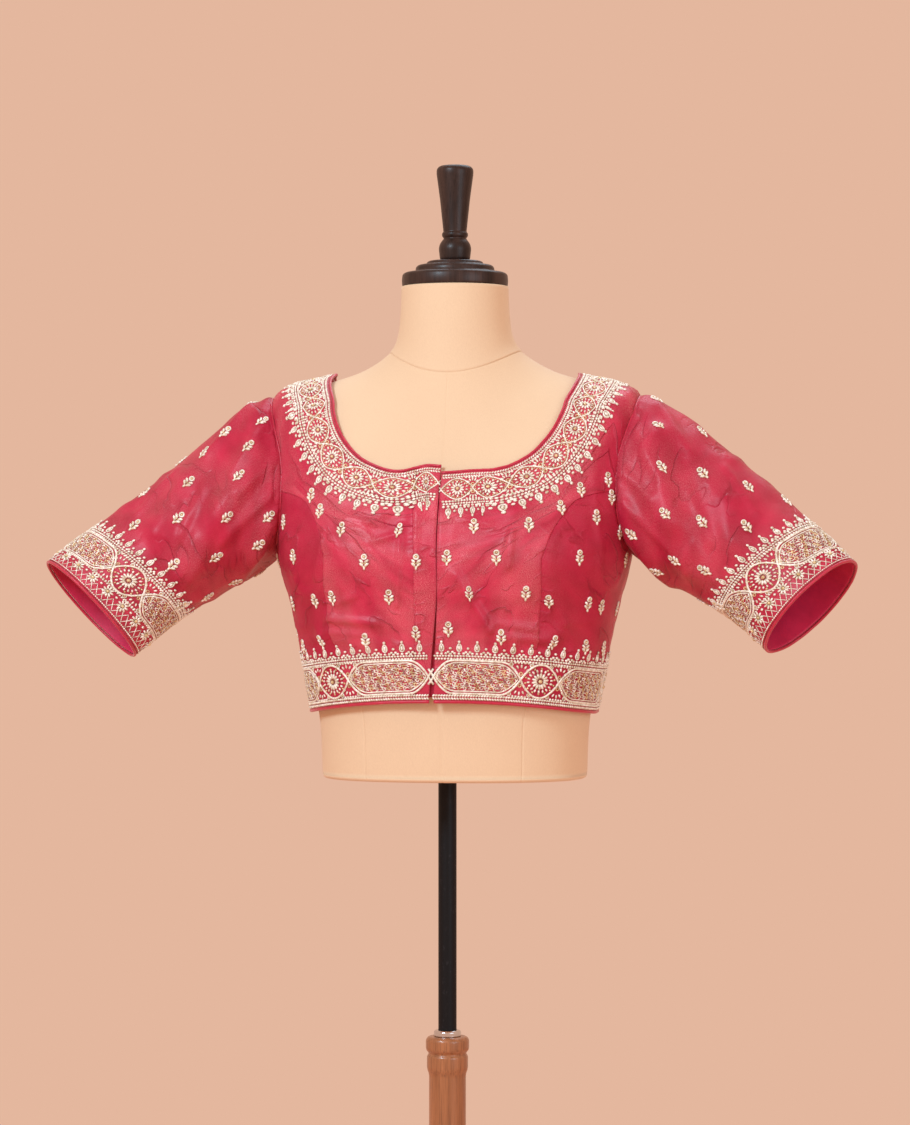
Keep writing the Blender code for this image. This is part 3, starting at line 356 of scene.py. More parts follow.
def locate(x, z, back=False):
    """The angles and rows where the outer face has some x and z, seen from the front or back."""
    x, z = np.broadcast_arrays(np.asarray(x, float), np.asarray(z, float))
    guess = np.arctan2(np.abs(x), USUAL_DEPTH)
    angle = np.copysign(np.pi - guess if back else guess, x)
    row = np.interp(z, [s[0] for s in SECTIONS], range(len(SECTIONS)))
    for _ in range(SEARCH_STEPS):
        point = outside(angle, row)
        by_angle, by_row = slopes(angle, row)
        miss_x = x - point[..., 0]
        miss_z = z - point[..., 2]
        size = by_angle[..., 0] * by_row[..., 2] - by_angle[..., 2] * by_row[..., 0]
        turn = (miss_x * by_row[..., 2] - miss_z * by_row[..., 0]) / size
        rise = (miss_z * by_angle[..., 0] - miss_x * by_angle[..., 2]) / size
        angle = angle + np.clip(turn, -SEARCH_TURN, SEARCH_TURN)
        row = row + np.clip(rise, -SEARCH_RISE, SEARCH_RISE)
    return np.stack((angle, row), -1)


def level(angle, z):
    """The rows where the outer face has some heights, at some angles."""
    row = np.ones(np.shape(angle))
    for _ in range(SEARCH_STEPS):
        rise = slopes(angle, row)[1][..., 2]
        row = row + np.clip((z - outside(angle, row)[..., 2]) / rise, -1, 1)
    return row


def ridge_row(x):
    """The row of the shoulder ridge that is x from the centre, on the outer face."""
    low, high = 7.2, 10.5
    for _ in range(SEARCH_STEPS):
        middle = (low + high) / 2
        if outside(math.pi / 2, middle)[0] > x:
            low = middle
        else:
            high = middle
    return low


def lengths(path):
    """The distance along a path of angles and rows, at each of its points."""
    points = outside(path[:, 0], path[:, 1])
    return run_up(np.linalg.norm(np.diff(points, axis=0), axis=1))


def smooth_path(points, per_span=8):
    """A smooth path of angles and rows through some points."""
    points = np.array(points, float)
    places = np.linspace(0, len(points) - 1, (len(points) - 1) * per_span + 1)
    return along(points, places)


def at_shares(path, wanted):
    """The points of a path of angles and rows at some shares of its length."""
    far = lengths(path)
    return np.stack([np.interp(wanted * far[-1], far, path[:, k]) for k in (0, 1)], -1)


def spaced(path, count):
    """The path as count equal steps."""
    return at_shares(path, np.linspace(0, 1, count + 1))


def at_angle(angle, low, high, count=20):
    """A path of rows at one angle."""
    return np.stack((np.full(count, angle), np.linspace(low, high, count)), -1)


def armhole_at(phi, side=1):
    """The armhole at an angle round it: 0 at the shoulder, 90 degrees at the front."""
    phi = np.asarray(phi, float)
    reach = np.where(np.sin(phi) > 0, ARMHOLE_FRONT_REACH, ARMHOLE_BACK_REACH)
    angle = math.pi / 2 - reach * np.sin(phi)
    row = ARMHOLE_ROW + ARMHOLE_HALF_ROWS * np.cos(phi)
    return np.stack((side * angle, row), -1)


def armhole_path(start, end, side=1, steps=24):
    """A stretch of the armhole between two angles round it."""
    return armhole_at(np.linspace(start, end, steps + 1), side)


def hem_height(angle):
    """The height of the hem at an angle."""
    ahead = np.clip(np.cos(angle), 0, 1)
    behind = np.clip(-np.cos(angle), 0, 1)
    return HEM_SIDE + (HEM_FRONT - HEM_SIDE) * ahead**2 + (HEM_BACK - HEM_SIDE) * behind**2


def hem_path(start, end, steps=24):
    """The hem between two angles."""
    angles = np.linspace(start, end, steps + 1)
    return np.stack((angles, level(angles, hem_height(angles))), -1)


def centre_edge(offsets, top_z):
    """A centre front edge from the hem up, through its distances from the centre."""
    top, middle, bottom = offsets
    across = (bottom, middle, 0.5 * (middle + top), top)
    return smooth_path(locate(across, (HEM_FRONT, 1.09, 1.15, top_z)))


def neck_height(x):
    """The height of the front neckline near the centre."""
    rise = CORNER_RISE * smooth_step(x, *CORNER_FADE) * (np.asarray(x) < 0)
    return np.interp(np.abs(x), (0, FRONT_NECK[0][0]), (FRONT_NECK_CENTRE, FRONT_NECK[0][1])) + rise


def front_neck_path(start_x, side):
    """The neckline from a distance from the centre front to the shoulder ridge."""
    first = np.linspace(start_x, side * FRONT_NECK[0][0], 5)[:-1]
    wide, high = np.transpose(FRONT_NECK)
    near = locate(first, neck_height(first))
    far = locate(side * wide, high)
    end = ((side * math.pi / 2, ridge_row(NECK_POINT_X)),)
    return smooth_path(np.concatenate((near, far, end)))


def back_neck_path(side):
    """The neckline from the centre back to the shoulder ridge."""
    wide, high = np.transpose(BACK_NECK)
    middle = ((side * math.pi, level(math.pi, BACK_NECK_CENTRE)),)
    far = locate(side * wide, high, True)
    end = ((side * math.pi / 2, ridge_row(NECK_POINT_X)),)
    return smooth_path(np.concatenate((middle, far, end)))


def shoulder_path(side):
    """The shoulder seam from the neckline to the armhole."""
    return at_angle(side * math.pi / 2, ridge_row(NECK_POINT_X), ARMHOLE_ROW + ARMHOLE_HALF_ROWS, 9)


def princess_path(side):
    """The princess seam from the hem up to the armhole."""
    high, *wide = np.transpose(PRINCESS[::-1])
    hem_x = PRINCESS_HEM_LEFT if side > 0 else PRINCESS_HEM_RIGHT
    hem_angle = locate(side * hem_x, HEM_FRONT)[0]
    hem = ((hem_angle, level(hem_angle, hem_height(hem_angle))),)
    seam = locate(side * wide[0 if side > 0 else 1], high)
    return smooth_path(np.concatenate((hem, seam, armhole_at(PRINCESS_ANGLE, side)[None])))


def sleeve_frame(side):
    """The directions of a sleeve: along it, up across it and forward across it."""
    down = np.array((side * math.cos(SLEEVE_DROP), 0, -math.sin(SLEEVE_DROP)))
    up = np.array((side * math.sin(SLEEVE_DROP), 0, math.cos(SLEEVE_DROP)))
    ahead = np.array((0, -1.0, 0))
    way = down * math.cos(SLEEVE_FORWARD) + ahead * math.sin(SLEEVE_FORWARD)
    depth = ahead * math.cos(SLEEVE_FORWARD) - down * math.sin(SLEEVE_FORWARD)
    return way, up, depth


def sleeve_base(side, phi, share):
    """A point of a sleeve with no folds: phi goes round it, share from the armhole to the cuff."""
    phi, share = np.broadcast_arrays(np.asarray(phi, float), np.asarray(share, float))
    way, up, depth = sleeve_frame(side)
    x, y, z, half_height, half_depth, *_ = LEFT_SLEEVE if side > 0 else RIGHT_SLEEVE
    rim = armhole_at(phi, side)
    start = cloth_point(rim[..., 0], rim[..., 1], WALL + ARMHOLE_LIFT)
    out = form_normal(rim[..., 0], rim[..., 1])
    centre = FORM_AXIS + np.array((side * x, y, z))
    end = centre + half_height * np.cos(phi)[..., None] * up
    end = end + half_depth * np.sin(phi)[..., None] * depth
    lower = np.clip(-np.cos(phi), 0, 1)[..., None]
    sag = np.array((0, 0, -1.0)) * SLEEVE_SAG * lower
    leave = SLEEVE_TENSION * unit(out * (SLEEVE_OUT + SLEEVE_OUT_BELOW * lower) + way * SLEEVE_ALONG + sag)
    return hermite(share[..., None], start, leave, end, SLEEVE_TENSION * way)


def sleeve_out(side, phi, share):
    """The way out of a sleeve's wall."""
    step = 0.01
    share = np.clip(share, step, 1 - step)
    round_it = sleeve_base(side, phi + step, share) - sleeve_base(side, phi - step, share)
    down = sleeve_base(side, phi, share + step) - sleeve_base(side, phi, share - step)
    return unit(np.cross(round_it, down) * side)


def sleeve_folds(phi, share, folds):
    """How far folds raise a sleeve, given by angles round and shares of its length."""
    scale = (math.radians(1) * SLEEVE_ROUND, SLEEVE_LONG) * 2 + (1, 1)
    return fold_height(phi * SLEEVE_ROUND, share * SLEEVE_LONG, np.array(folds) * scale)


def sleeve_fold_height(side, phi, share):
    """How far the soft folds of a sleeve raise it."""
    folds = LEFT_SLEEVE_FOLDS if side > 0 else RIGHT_SLEEVE_FOLDS
    height = sleeve_folds(np.mod(phi, 2 * math.pi), share, folds)
    return height * smooth_step(share, 0.0, 0.12) * (1 - smooth_step(share, 0.62, 0.76))


def sleeve_point(side, phi, share, lift=0.0):
    """A point of a sleeve, on its inside, or lifted off that."""
    phi, share = np.broadcast_arrays(np.asarray(phi, float), np.asarray(share, float))
    above, below = (LEFT_SLEEVE if side > 0 else RIGHT_SLEEVE)[-2:]
    ease = below + (above - below) * smooth_step(np.cos(phi), 0, 1)
    ease = ease * np.sin(math.pi * np.clip(share, 0, 1)) ** 2
    out = ease + sleeve_fold_height(side, phi, share) + lift
    return sleeve_base(side, phi, share) + sleeve_out(side, phi, share) * out[..., None]


def sleeve_lengths(side, phis):
    """The length of the sleeve at angles round it."""
    points = sleeve_point(side, phis[:, None], np.linspace(0, 1, 31)[None])
    return np.linalg.norm(np.diff(points, axis=1), axis=2).sum(axis=1)


def walk(path, heading, distance):
    """The points a distance from a path over the outer face, as angles and rows."""
    angle, row = path.T
    distance = np.broadcast_to(np.asarray(distance, float), angle.shape)
    steps = 8
    for _ in range(steps):
        by_angle, by_row = slopes(angle, row)
        out = unit(np.cross(by_angle, by_row))
        flat = unit(heading - np.sum(heading * out, -1, keepdims=True) * out)
        aa = np.sum(by_angle * by_angle, -1)
        ab = np.sum(by_angle * by_row, -1)
        bb = np.sum(by_row * by_row, -1)
        fa = np.sum(by_angle * flat, -1)
        fb = np.sum(by_row * flat, -1)
        size = aa * bb - ab * ab
        angle = angle + (fa * bb - fb * ab) / size * distance / steps
        row = row + (fb * aa - fa * ab) / size * distance / steps
    return angle, row


def across_heading(path, towards):
    """The direction over the cloth that is square to a path, on its left or right."""
    angle, row = path.T
    by_angle, by_row = slopes(angle, row)
    run = np.gradient(outside(angle, row), axis=0)
    return unit(np.cross(np.cross(by_angle, by_row), run) * towards)


# The photograph's camera and its studio
CAMERA_TURN = math.radians(7.5)
CAMERA_DISTANCE = 3.4
CAMERA_HEIGHT = 1.13
FRAME_HEIGHT = 1.125
SENSOR = 36.0
PEACH = (0.776, 0.474, 0.342)
FLOOR_RADIUS = 3.0
FLOOR_SIDES = 64
FLOOR_DROP = 0.0005
LIGHT_AIM = (0, 0, 1.15)
# Soft boxes: name, place, diameter, watts, colour
LIGHTS = (
    ("key", (-1.3, -2.4, 2.6), 0.8, 68, (0.64, 0.86, 1.0)),
    ("fill", (2.2, -2.2, 1.6), 1.8, 29, (0.64, 0.86, 1.0)),
    ("top", (0.2, 0.9, 2.9), 1.6, 20, (0.60, 0.84, 1.0)),
)

# The fine meshes
CLOTH_CELL = 0.0022
PLACKET_CELL = 0.0018
BACK_CELL = 0.0034
SLEEVE_CELL = 0.0027
SLEEVE_GIRTH = 0.36
SLEEVE_LENGTH = 0.25
SEAM_STEPS = (0.0, 0.0006, 0.0013, 0.0024)
SEAM_DIP = 0.0007
SEAM_REACH = 0.0022
ARMHOLE_DIP = 0.0008
PUCKER_PITCH = 0.0075
PUCKER_HEIGHT = 0.00022
PUCKER_REACH = 0.006
TURNED_STEPS = 96
GRID_CELL = 0.003
GRID_START = -0.002
GRID_ROWS = 16
CUFF_COLUMNS = 121

# Creases pressed in the fronts: start x and z, end x and z, width, height
CREASES = (
    (0.02, 1.118, 0.05, 1.066, 0.003, 0.0037),
    (0.072, 1.159, 0.069, 1.127, 0.0025, 0.003),
    (-0.11, 1.076, -0.058, 1.073, 0.0028, 0.0028),
    (-0.112, 1.064, -0.07, 1.06, 0.0022, 0.0023),
    (-0.1, 1.091, -0.08, 1.099, 0.0025, 0.0021),
    (0.055, 1.073, 0.092, 1.066, 0.0025, 0.0025),
    (0.06, 1.06, 0.104, 1.055, 0.0028, 0.0023),
    (-0.036, 1.165, -0.04, 1.09, 0.0022, 0.0025),
    (-0.022, 1.178, -0.02, 1.06, 0.0028, 0.0023),
    (-0.09, 1.172, -0.055, 1.166, 0.0022, 0.0018),
    (-0.07, 1.166, -0.045, 1.18, 0.002, 0.0021),
    (-0.062, 1.15, -0.04, 1.157, 0.002, 0.0018),
    (0.02, 1.172, 0.05, 1.166, 0.0022, 0.0016),
    (0.085, 1.172, 0.105, 1.158, 0.0022, 0.0018),
    (-0.115, 1.15, -0.122, 1.115, 0.0022, 0.0018),
    (0.104, 1.1, 0.118, 1.072, 0.0025, 0.0021),
)
# Creases of a sleeve: start angle round and share of the length, end angle and share, width, height
SLEEVE_CREASES = (
    (20, 0.1, 44, 0.3, 0.0037, 0.003), (52, 0.05, 74, 0.24, 0.0032, 0.003),
    (80, 0.02, 92, 0.22, 0.0035, 0.0034), (104, 0.06, 118, 0.34, 0.0035, 0.0034),
    (70, 0.36, 98, 0.52, 0.0032, 0.0027), (104, 0.46, 128, 0.6, 0.0035, 0.0027),
    (34, 0.44, 52, 0.62, 0.0032, 0.0023), (150, 0.08, 168, 0.4, 0.0037, 0.0009),
    (210, 0.06, 228, 0.36, 0.0037, 0.0034), (250, 0.12, 262, 0.44, 0.0035, 0.003),
    (300, 0.08, 322, 0.3, 0.0035, 0.0027), (56, 0.13, 98, 0.31, 0.0105, 0.0045),
    (88, 0.27, 126, 0.5, 0.01, 0.0042), (48, 0.44, 84, 0.6, 0.0095, 0.0032),
)


# Fine wandering creases: shift and stretch of their noise, its size, sharpness, height
WAIST_CRINKLE = (2, (0.3, 0.5, 1), 0.018, 0.60, 0.0014)
BREAST_CRINKLE = (7, (0.8, 0.5, 1), 0.021, 0.66, 0.0011)
PLAIN_CRINKLE = (4, (0.8, 0.8, 0.8), 0.036, 0.70, 0.0010)
SLEEVE_CRINKLE = (9, (0.7, 0.7, 0.7), 0.034, 0.60, 0.0020)
# Where they are on the body, as a reach and its middle height
WAIST = (0.020, 1.062)
BREAST = (0.022, 1.160)
# How far the right sleeve's creases are turned from the left's
RIGHT_CREASE_TURN = 0.12


def noise(points, size):
    """Smooth noise between -1 and 1, with bumps of about a size."""
    p = np.asarray(points, float) / size
    cell = np.floor(p)
    f = p - cell
    f = f * f * (3 - 2 * f)
    total = 0.0
    for corner in np.ndindex(2, 2, 2):
        at = cell + corner
        seed = at @ np.array((127.1, 311.7, 74.7))
        value = np.modf(np.abs(np.sin(seed) * 43758.5453))[0]
        weight = np.prod(np.where(corner, f, 1 - f), axis=-1)
        total = total + value * weight
    return 2 * total - 1


def crinkled(points, crinkle):
    """Thin wandering creases, where smooth noise crosses zero."""
    shift, stretch, size, sharp, height = crinkle
    return height * smooth_step(1 - np.abs(noise((points + shift) * stretch, size)), sharp, 1.0)


def body_relief(angle, points):
    """Creases and soft unevenness of the body's cloth, on top of its folds."""
    x = points[..., 0] - FORM_AXIS[0]
    z = points[..., 2]
    front = smooth_step(np.cos(angle), *FRONT_FADE)
    beside = 0.35 + 0.65 * smooth_step(np.abs(x), 0.010, 0.030)
    stretched = points * (1.0, 1.0, 2.2)
    relief = front * fold_height(x, z, CREASES)
    relief = relief + 0.00045 * noise(stretched, 0.021) + 0.00022 * noise(stretched + 3, 0.009)
    relief = relief + front * bump(z, *WAIST) * crinkled(points, WAIST_CRINKLE)
    relief = relief + front * bump(z, *BREAST) * crinkled(points, BREAST_CRINKLE)
    relief = relief + crinkled(points, PLAIN_CRINKLE)
    return relief * (0.25 + 0.75 * smooth_step(z, 0.99, 1.05)) * beside


def skin(angle, row, lift=0.0):
    """A point of the blouse's body with its creases."""
    points = cloth_point(angle, row)
    relief = body_relief(angle, points)
    return points + form_normal(angle, row) * (relief + lift)[..., None]


def sleeve_relief(side, phi, share, points):
    """Creases and soft unevenness of a sleeve, with the gathers at its head."""
    turned = np.mod(phi if side > 0 else phi + RIGHT_CREASE_TURN, 2 * math.pi)
    height = sleeve_folds(turned, share, SLEEVE_CREASES)
    free = smooth_step(share, 0.0, 0.06) * (1 - smooth_step(share, 0.66, 0.74))
    gathers = 0.0005 * np.sin(phi * 46 + 2.2 * np.sin(phi * 5)) * bump(share, 0.06)
    rough = 0.0007 * noise(points, 0.026) + 0.0003 * noise(points + 5, 0.010)
    rough = rough + crinkled(points, SLEEVE_CRINKLE) * (1 - smooth_step(share, 0.62, 0.72))
    return height * free + gathers * smooth_step(share, 0, 0.012) + rough * smooth_step(share, 0, 0.03)


def sleeve_skin(side, phi, share, lift=0.0):
    """A point of a sleeve with its creases."""
    phi, share = np.broadcast_arrays(np.asarray(phi, float), np.asarray(share, float))
    points = sleeve_point(side, phi, share)
    relief = sleeve_relief(side, phi, share, points)
    return points + sleeve_out(side, phi, share) * (relief + lift)[..., None]


class Grid:
    """Places over a cloth by two lengths: along an edge, and in from it."""

    def __init__(self, far, deep, points, normals, closed=False):
        self.far = far
        self.deep = deep
        self.points = points
        self.normals = normals
        self.closed = closed

    def at(self, s, d, h):
        """The points at lengths s and d, and a height h off the cloth."""
        if self.closed:
            s = np.mod(s, self.far[-1])
        i = np.clip(np.searchsorted(self.far, s) - 1, 0, len(self.far) - 2)
        j = np.clip(np.searchsorted(self.deep, d) - 1, 0, len(self.deep) - 2)
        fs = ((s - self.far[i]) / (self.far[i + 1] - self.far[i]))[..., None]
        fd = ((d - self.deep[j]) / (self.deep[j + 1] - self.deep[j]))[..., None]
        found = []
        for field in (self.points, self.normals):
            low = field[i, j] * (1 - fs) + field[i + 1, j] * fs
            high = field[i, j + 1] * (1 - fs) + field[i + 1, j + 1] * fs
            found.append(low * (1 - fd) + high * fd)
        return found[0] + found[1] * np.asarray(h)[..., None]


def edge_grid(path, towards, depth):
    """The places in from an edge of the body."""
    path = spaced(path, round(lengths(path)[-1] / GRID_CELL))
    heading = across_heading(path, towards)
    deep = np.linspace(GRID_START, depth, GRID_ROWS)
    angle, row = np.moveaxis([walk(path, heading, d) for d in deep], 0, -1)
    return Grid(lengths(path), deep, skin(angle, row, WALL), form_normal(angle, row))


def cuff_grid(side, depth):
    """The places in from a cuff's edge."""
    phis = np.linspace(0, 2 * math.pi, CUFF_COLUMNS)
    rim = sleeve_skin(side, phis, 1.0, WALL)
    far = run_up(np.linalg.norm(np.diff(rim, axis=0), axis=1))
    deep = np.linspace(GRID_START, depth, GRID_ROWS)
    phi, share = np.broadcast_arrays(phis[:, None], 1 - deep / sleeve_lengths(side, phis)[:, None])
    return Grid(far, deep, sleeve_skin(side, phi, share, WALL), sleeve_out(side, phi, share), closed=True)


def headings(path, closed):
    """The direction along a path at each of its points."""
    run = np.roll(path, -1, 0) - np.roll(path, 1, 0) if closed else np.gradient(path, axis=0)
    return run / np.maximum(np.linalg.norm(run, axis=1, keepdims=True), 1e-9)


def tube_faces(count, sides, closed):
    """The numbers of the points of a tube's rings, and its faces."""
    index = np.arange(count * sides).reshape(count, sides)
    near = index if closed else index[:-1]
    ahead = np.roll(index, -1, 0) if closed else index[1:]
    faces = np.stack((near, np.roll(near, -1, 1), np.roll(ahead, -1, 1), ahead), -1)
    return index, faces.reshape(-1, 4)


def wall_faces(here, beside):
    """The faces between columns of point numbers and the columns beside them."""
    faces = np.stack((here[:, :-1], beside[:, :-1], beside[:, 1:], here[:, 1:]), -1)
    return faces.reshape(-1, 4)


# Kinds of thread in the raised work
IVORY = 0
GOLD = 1
ROSE = 2
# How flat beads and cords are, and how far they stand up, as shares of their width
SEED_FLAT = 0.85
SEED_RISE = 0.45
CORD_RISE = 0.55


class Work:
    """Raised thread and beads, gathered flat and then laid on a cloth."""

    def __init__(self):
        self.verts = []
        self.faces = []
        self.kinds = []
        self.count = 0

    def add(self, verts, faces, kind):
        """Some flat vertices (along, in, height) with their faces, four corners each."""
        self.faces.append(np.reshape(faces, (-1, 4)) + self.count)
        self.verts.append(np.reshape(verts, (-1, 3)))
        self.kinds.append(np.full(len(self.faces[-1]), kind))
        self.count += len(self.verts[-1])

    def seed(self, places, long, wide, turn=0.0, kind=IVORY):
        """Long beads or stitches lying at some places, turned in the plane of the cloth."""
        places = np.atleast_2d(np.asarray(places, float))
        count = len(places)
        long, wide, turn = (np.broadcast_to(value, count)[:, None] for value in (long, wide, turn))
        u = SEED_POINTS[:, 0] * long
        v = SEED_POINTS[:, 1] * wide
        w = (SEED_POINTS[:, 2] * SEED_FLAT + SEED_RISE) * wide
        s = places[:, :1] + u * np.cos(turn) - v * np.sin(turn)
        d = places[:, 1:2] + u * np.sin(turn) + v * np.cos(turn)
        faces = SEED_FACES[None] + (np.arange(count) * len(SEED_POINTS))[:, None, None]
        self.add(np.stack((s, d, w), -1), faces, kind)

    def cord(self, path, radius, kind=IVORY, closed=False, sides=5):
        """A round cord along a flat path."""
        path = np.asarray(path, float)
        count = len(path)
        run = headings(path, closed)
        square = np.stack((-run[:, 1], run[:, 0]), 1)
        turns = evenly(sides) + 0.3
        flat = path[:, None] + square[:, None] * (np.cos(turns) * radius)[None, :, None]
        high = np.broadcast_to(radius * (CORD_RISE + np.sin(turns)), flat.shape[:2])
        index, faces = tube_faces(count, sides, closed)
        if not closed:
            faces = np.concatenate((faces, index[:1, 3::-1], index[-1:, :4]))
        self.add(np.concatenate((flat, high[..., None]), -1), faces, kind)

    def ring(self, place, radius, thick, kind=IVORY, steps=9):
        """A small ring of cord."""
        turns = evenly(steps)
        path = np.stack((place[0] + radius * np.cos(turns), place[1] + radius * np.sin(turns)), 1)
        self.cord(path, thick, kind, closed=True, sides=4)

    def flat(self):
        """All vertices as one array."""
        return np.concatenate(self.verts)

    def build(self, name, laid_on, finishes):
        """One object from the faces and the vertices as laid on the cloth, once or at many places."""
        size = self.count
        faces = np.concatenate(self.faces)[None] + (np.arange(len(laid_on)) * size)[:, None, None]
        kinds = np.tile(np.concatenate(self.kinds), len(laid_on))
        made = mesh_object(name, np.concatenate(laid_on), faces.reshape(-1, 4), finishes, kinds)
        return placed(made, "form", "zardozi")


def ball(rings=3, around=6):
    """The points and four-cornered faces of a small ball of radius 1, open underneath."""
    points = []
    for j in range(rings):
        height = math.radians(-30 + 100 * j / (rings - 1))
        for i in range(around):
            turn = 2 * math.pi * i / around
            flat = math.cos(height)
            points.append((flat * math.cos(turn), flat * math.sin(turn), math.sin(height)))
    faces = []
    for j in range(rings - 1):
        for i in range(around):
            k = (i + 1) % around
            low = j * around
            faces.append((low + i, low + k, low + around + k, low + around + i))
    top = (rings - 1) * around
    faces += [(top, top + 1, top + 2, top + 3), (top, top + 3, top + 4, top + 5)]
    faces += [(3, 2, 1, 0), (5, 4, 3, 0)]
    return np.array(points), np.array(faces)


SEED_POINTS, SEED_FACES = ball()


def placed(made, body, slot, *nodes):
    """The object riding a body, in place of its nodes; the slot is not used."""
    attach(made, body)
    if nodes:
        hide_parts(*nodes)
    return made


def mesh_object(name, points, faces, finishes, kinds=None, lengths_uv=None):
    """An object of a mesh given as arrays."""
    mesh = bpy.data.meshes.new(name)
    points = np.asarray(points, np.float32).reshape(-1, 3)
    faces = np.asarray(faces, np.int32)
    corners = faces.shape[1]
    mesh.vertices.add(len(points))
    mesh.vertices.foreach_set("co", points.ravel())
    mesh.loops.add(faces.size)
    mesh.loops.foreach_set("vertex_index", faces.ravel())
    mesh.polygons.add(len(faces))
    mesh.polygons.foreach_set("loop_start", np.arange(0, faces.size, corners, dtype=np.int32))
    mesh.polygons.foreach_set("loop_total", np.full(len(faces), corners, np.int32))
    if kinds is not None:
        mesh.polygons.foreach_set("material_index", np.asarray(kinds, np.int32))
    if lengths_uv is not None:
        layer = mesh.uv_layers.new(name="cloth")
        layer.data.foreach_set("uv", np.asarray(lengths_uv, np.float32)[faces.ravel()].ravel())
    mesh.update(calc_edges=True)
    mesh.validate()
    mesh.polygons.foreach_set("use_smooth", np.ones(len(mesh.polygons), bool))
    made = bpy.data.objects.new(name, mesh)
    for finish in np.atleast_1d(finishes):
        mesh.materials.append(finish)
    bpy.context.scene.collection.objects.link(made)
    return made


def shell(name, outer, inner, finishes, closed=False):
    """A cloth piece between two grids of points, facing out of its first side by its second."""
    columns, rows = outer.shape[:2]
    size = columns * rows
    index = np.arange(size).reshape(columns, rows)
    last = slice(None) if closed else slice(None, -1)
    beside = np.roll(index, -1, 0)[last]
    here = index[last]
    out = wall_faces(here, beside)
    rims = [(here[:, 0], beside[:, 0]), (beside[:, -1], here[:, -1])]
    if not closed:
        rims += [(index[0, 1:], index[0, :-1]), (index[-1, :-1], index[-1, 1:])]
    rim = [np.stack((a + size, b + size, b, a), -1) for a, b in rims]
    faces = np.concatenate((out, out[:, ::-1] + size, *rim))
    kinds = np.zeros(len(faces))
    kinds[len(out):2 * len(out)] = 1
    u = run_up(np.linalg.norm(np.diff(outer, axis=0), axis=2).mean(1))
    v = run_up(np.linalg.norm(np.diff(outer, axis=1), axis=2).mean(0))
    flat = np.stack(np.meshgrid(u, v, indexing="ij"), -1).reshape(-1, 2)
    points = np.concatenate((outer.reshape(-1, 3), inner.reshape(-1, 3)))
    return mesh_object(name, points, faces, finishes, kinds, np.concatenate((flat, flat)))


def shares(length, cell, seam_start=True, seam_end=True):
    """Steps of about a cell along a length, finer beside its seams, as shares of it."""
    inner = np.linspace(0, length, max(4, round(length / cell)) + 1)
    fine = np.array(SEAM_STEPS)
    if seam_start:
        inner = np.concatenate((fine, inner[inner > fine[-1] + cell / 2]))
    if seam_end:
        inner = np.concatenate((inner[inner < length - fine[-1] - cell / 2], (length - fine)[::-1]))
    return inner / length


def fine_grid(bottom, top, left, right, u, v):
    """Angles and rows between four paths, at shares u across and v up."""
    across = (1 - u)[:, None, None] * at_shares(left, v)[None] + u[:, None, None] * at_shares(right, v)[None]
    rise = v[None, :, None]
    low = at_shares(bottom, u)
    high = at_shares(top, u)
    straight_low = low[0] + (low[-1] - low[0]) * u[:, None]
    straight_high = high[0] + (high[-1] - high[0]) * u[:, None]
    bend_low = (low - straight_low)[:, None] * (1 - rise) ** TOP_HOLD
    bend_high = (high - straight_high)[:, None] * rise**TOP_HOLD
    return across + bend_low + bend_high


def seam_dip(u, v, width, height, seams):
    """How far the cloth dips into its seams, with small puckers: left, right, top."""
    total = np.zeros((len(u), len(v)))
    along_u = (u * width)[:, None]
    along_v = (v * height)[None]
    beside = {"left": along_u, "right": width - along_u, "top": height - along_v}
    for name in seams:
        run = along_u if name == "top" else along_v
        wave = PUCKER_HEIGHT * np.sin(run * 2 * math.pi / PUCKER_PITCH + 2 * np.sin(run * 90))
        total = total - SEAM_DIP * bump(beside[name], SEAM_REACH) + wave * bump(beside[name], PUCKER_REACH)
    return total


def walls(grid, dip):
    """The outer and inner faces of the body's cloth over a grid of angles and rows."""
    angle, row = np.moveaxis(grid, -1, 0)
    return skin(angle, row, WALL + dip), skin(angle, row, np.maximum(dip, -0.0002))


def panel(name, bottom, top, left, right, seams, cell, finishes, node=None):
    """A cloth panel of the body between four paths of angles and rows."""
    width = 0.5 * (lengths(bottom)[-1] + lengths(top)[-1])
    height = 0.5 * (lengths(left)[-1] + lengths(right)[-1])
    u = shares(width, cell, "left" in seams, "right" in seams)
    v = shares(height, cell, False, "top" in seams)
    grid = fine_grid(bottom, top, left, right, u, v)
    dip = seam_dip(u, v, width, height, seams)
    if grid[-1, 0, 0] < grid[0, 0, 0]:
        grid = grid[::-1]
        dip = dip[::-1]
    return placed(shell("cloth_" + name, *walls(grid, dip), finishes), "form", "silk", node or name)


def neckline():
    """The whole neckline, from the right centre front round the back to the left centre front."""
    right = front_neck_path(RIGHT_EDGE[0], -1)
    back_right = back_neck_path(-1)[::-1]
    back_left = back_neck_path(1)
    left = front_neck_path(LEFT_EDGE[0], 1)[::-1]
    back_right[:, 0] = np.mod(back_right[:, 0], 2 * math.pi)
    right[:, 0] = np.mod(right[:, 0], 2 * math.pi)
    return joined(right, back_right, back_left, left)


def hem_round():
    """The whole hem, from the right centre front round the back to the left centre front."""
    start = 2 * math.pi + locate(RIGHT_EDGE[2], HEM_FRONT)[0]
    return hem_path(start, locate(LEFT_EDGE[2], HEM_FRONT)[0], 96)


def joined(*paths):
    """Some paths end to end."""
    return np.concatenate([paths[0]] + [p[1:] for p in paths[1:]])


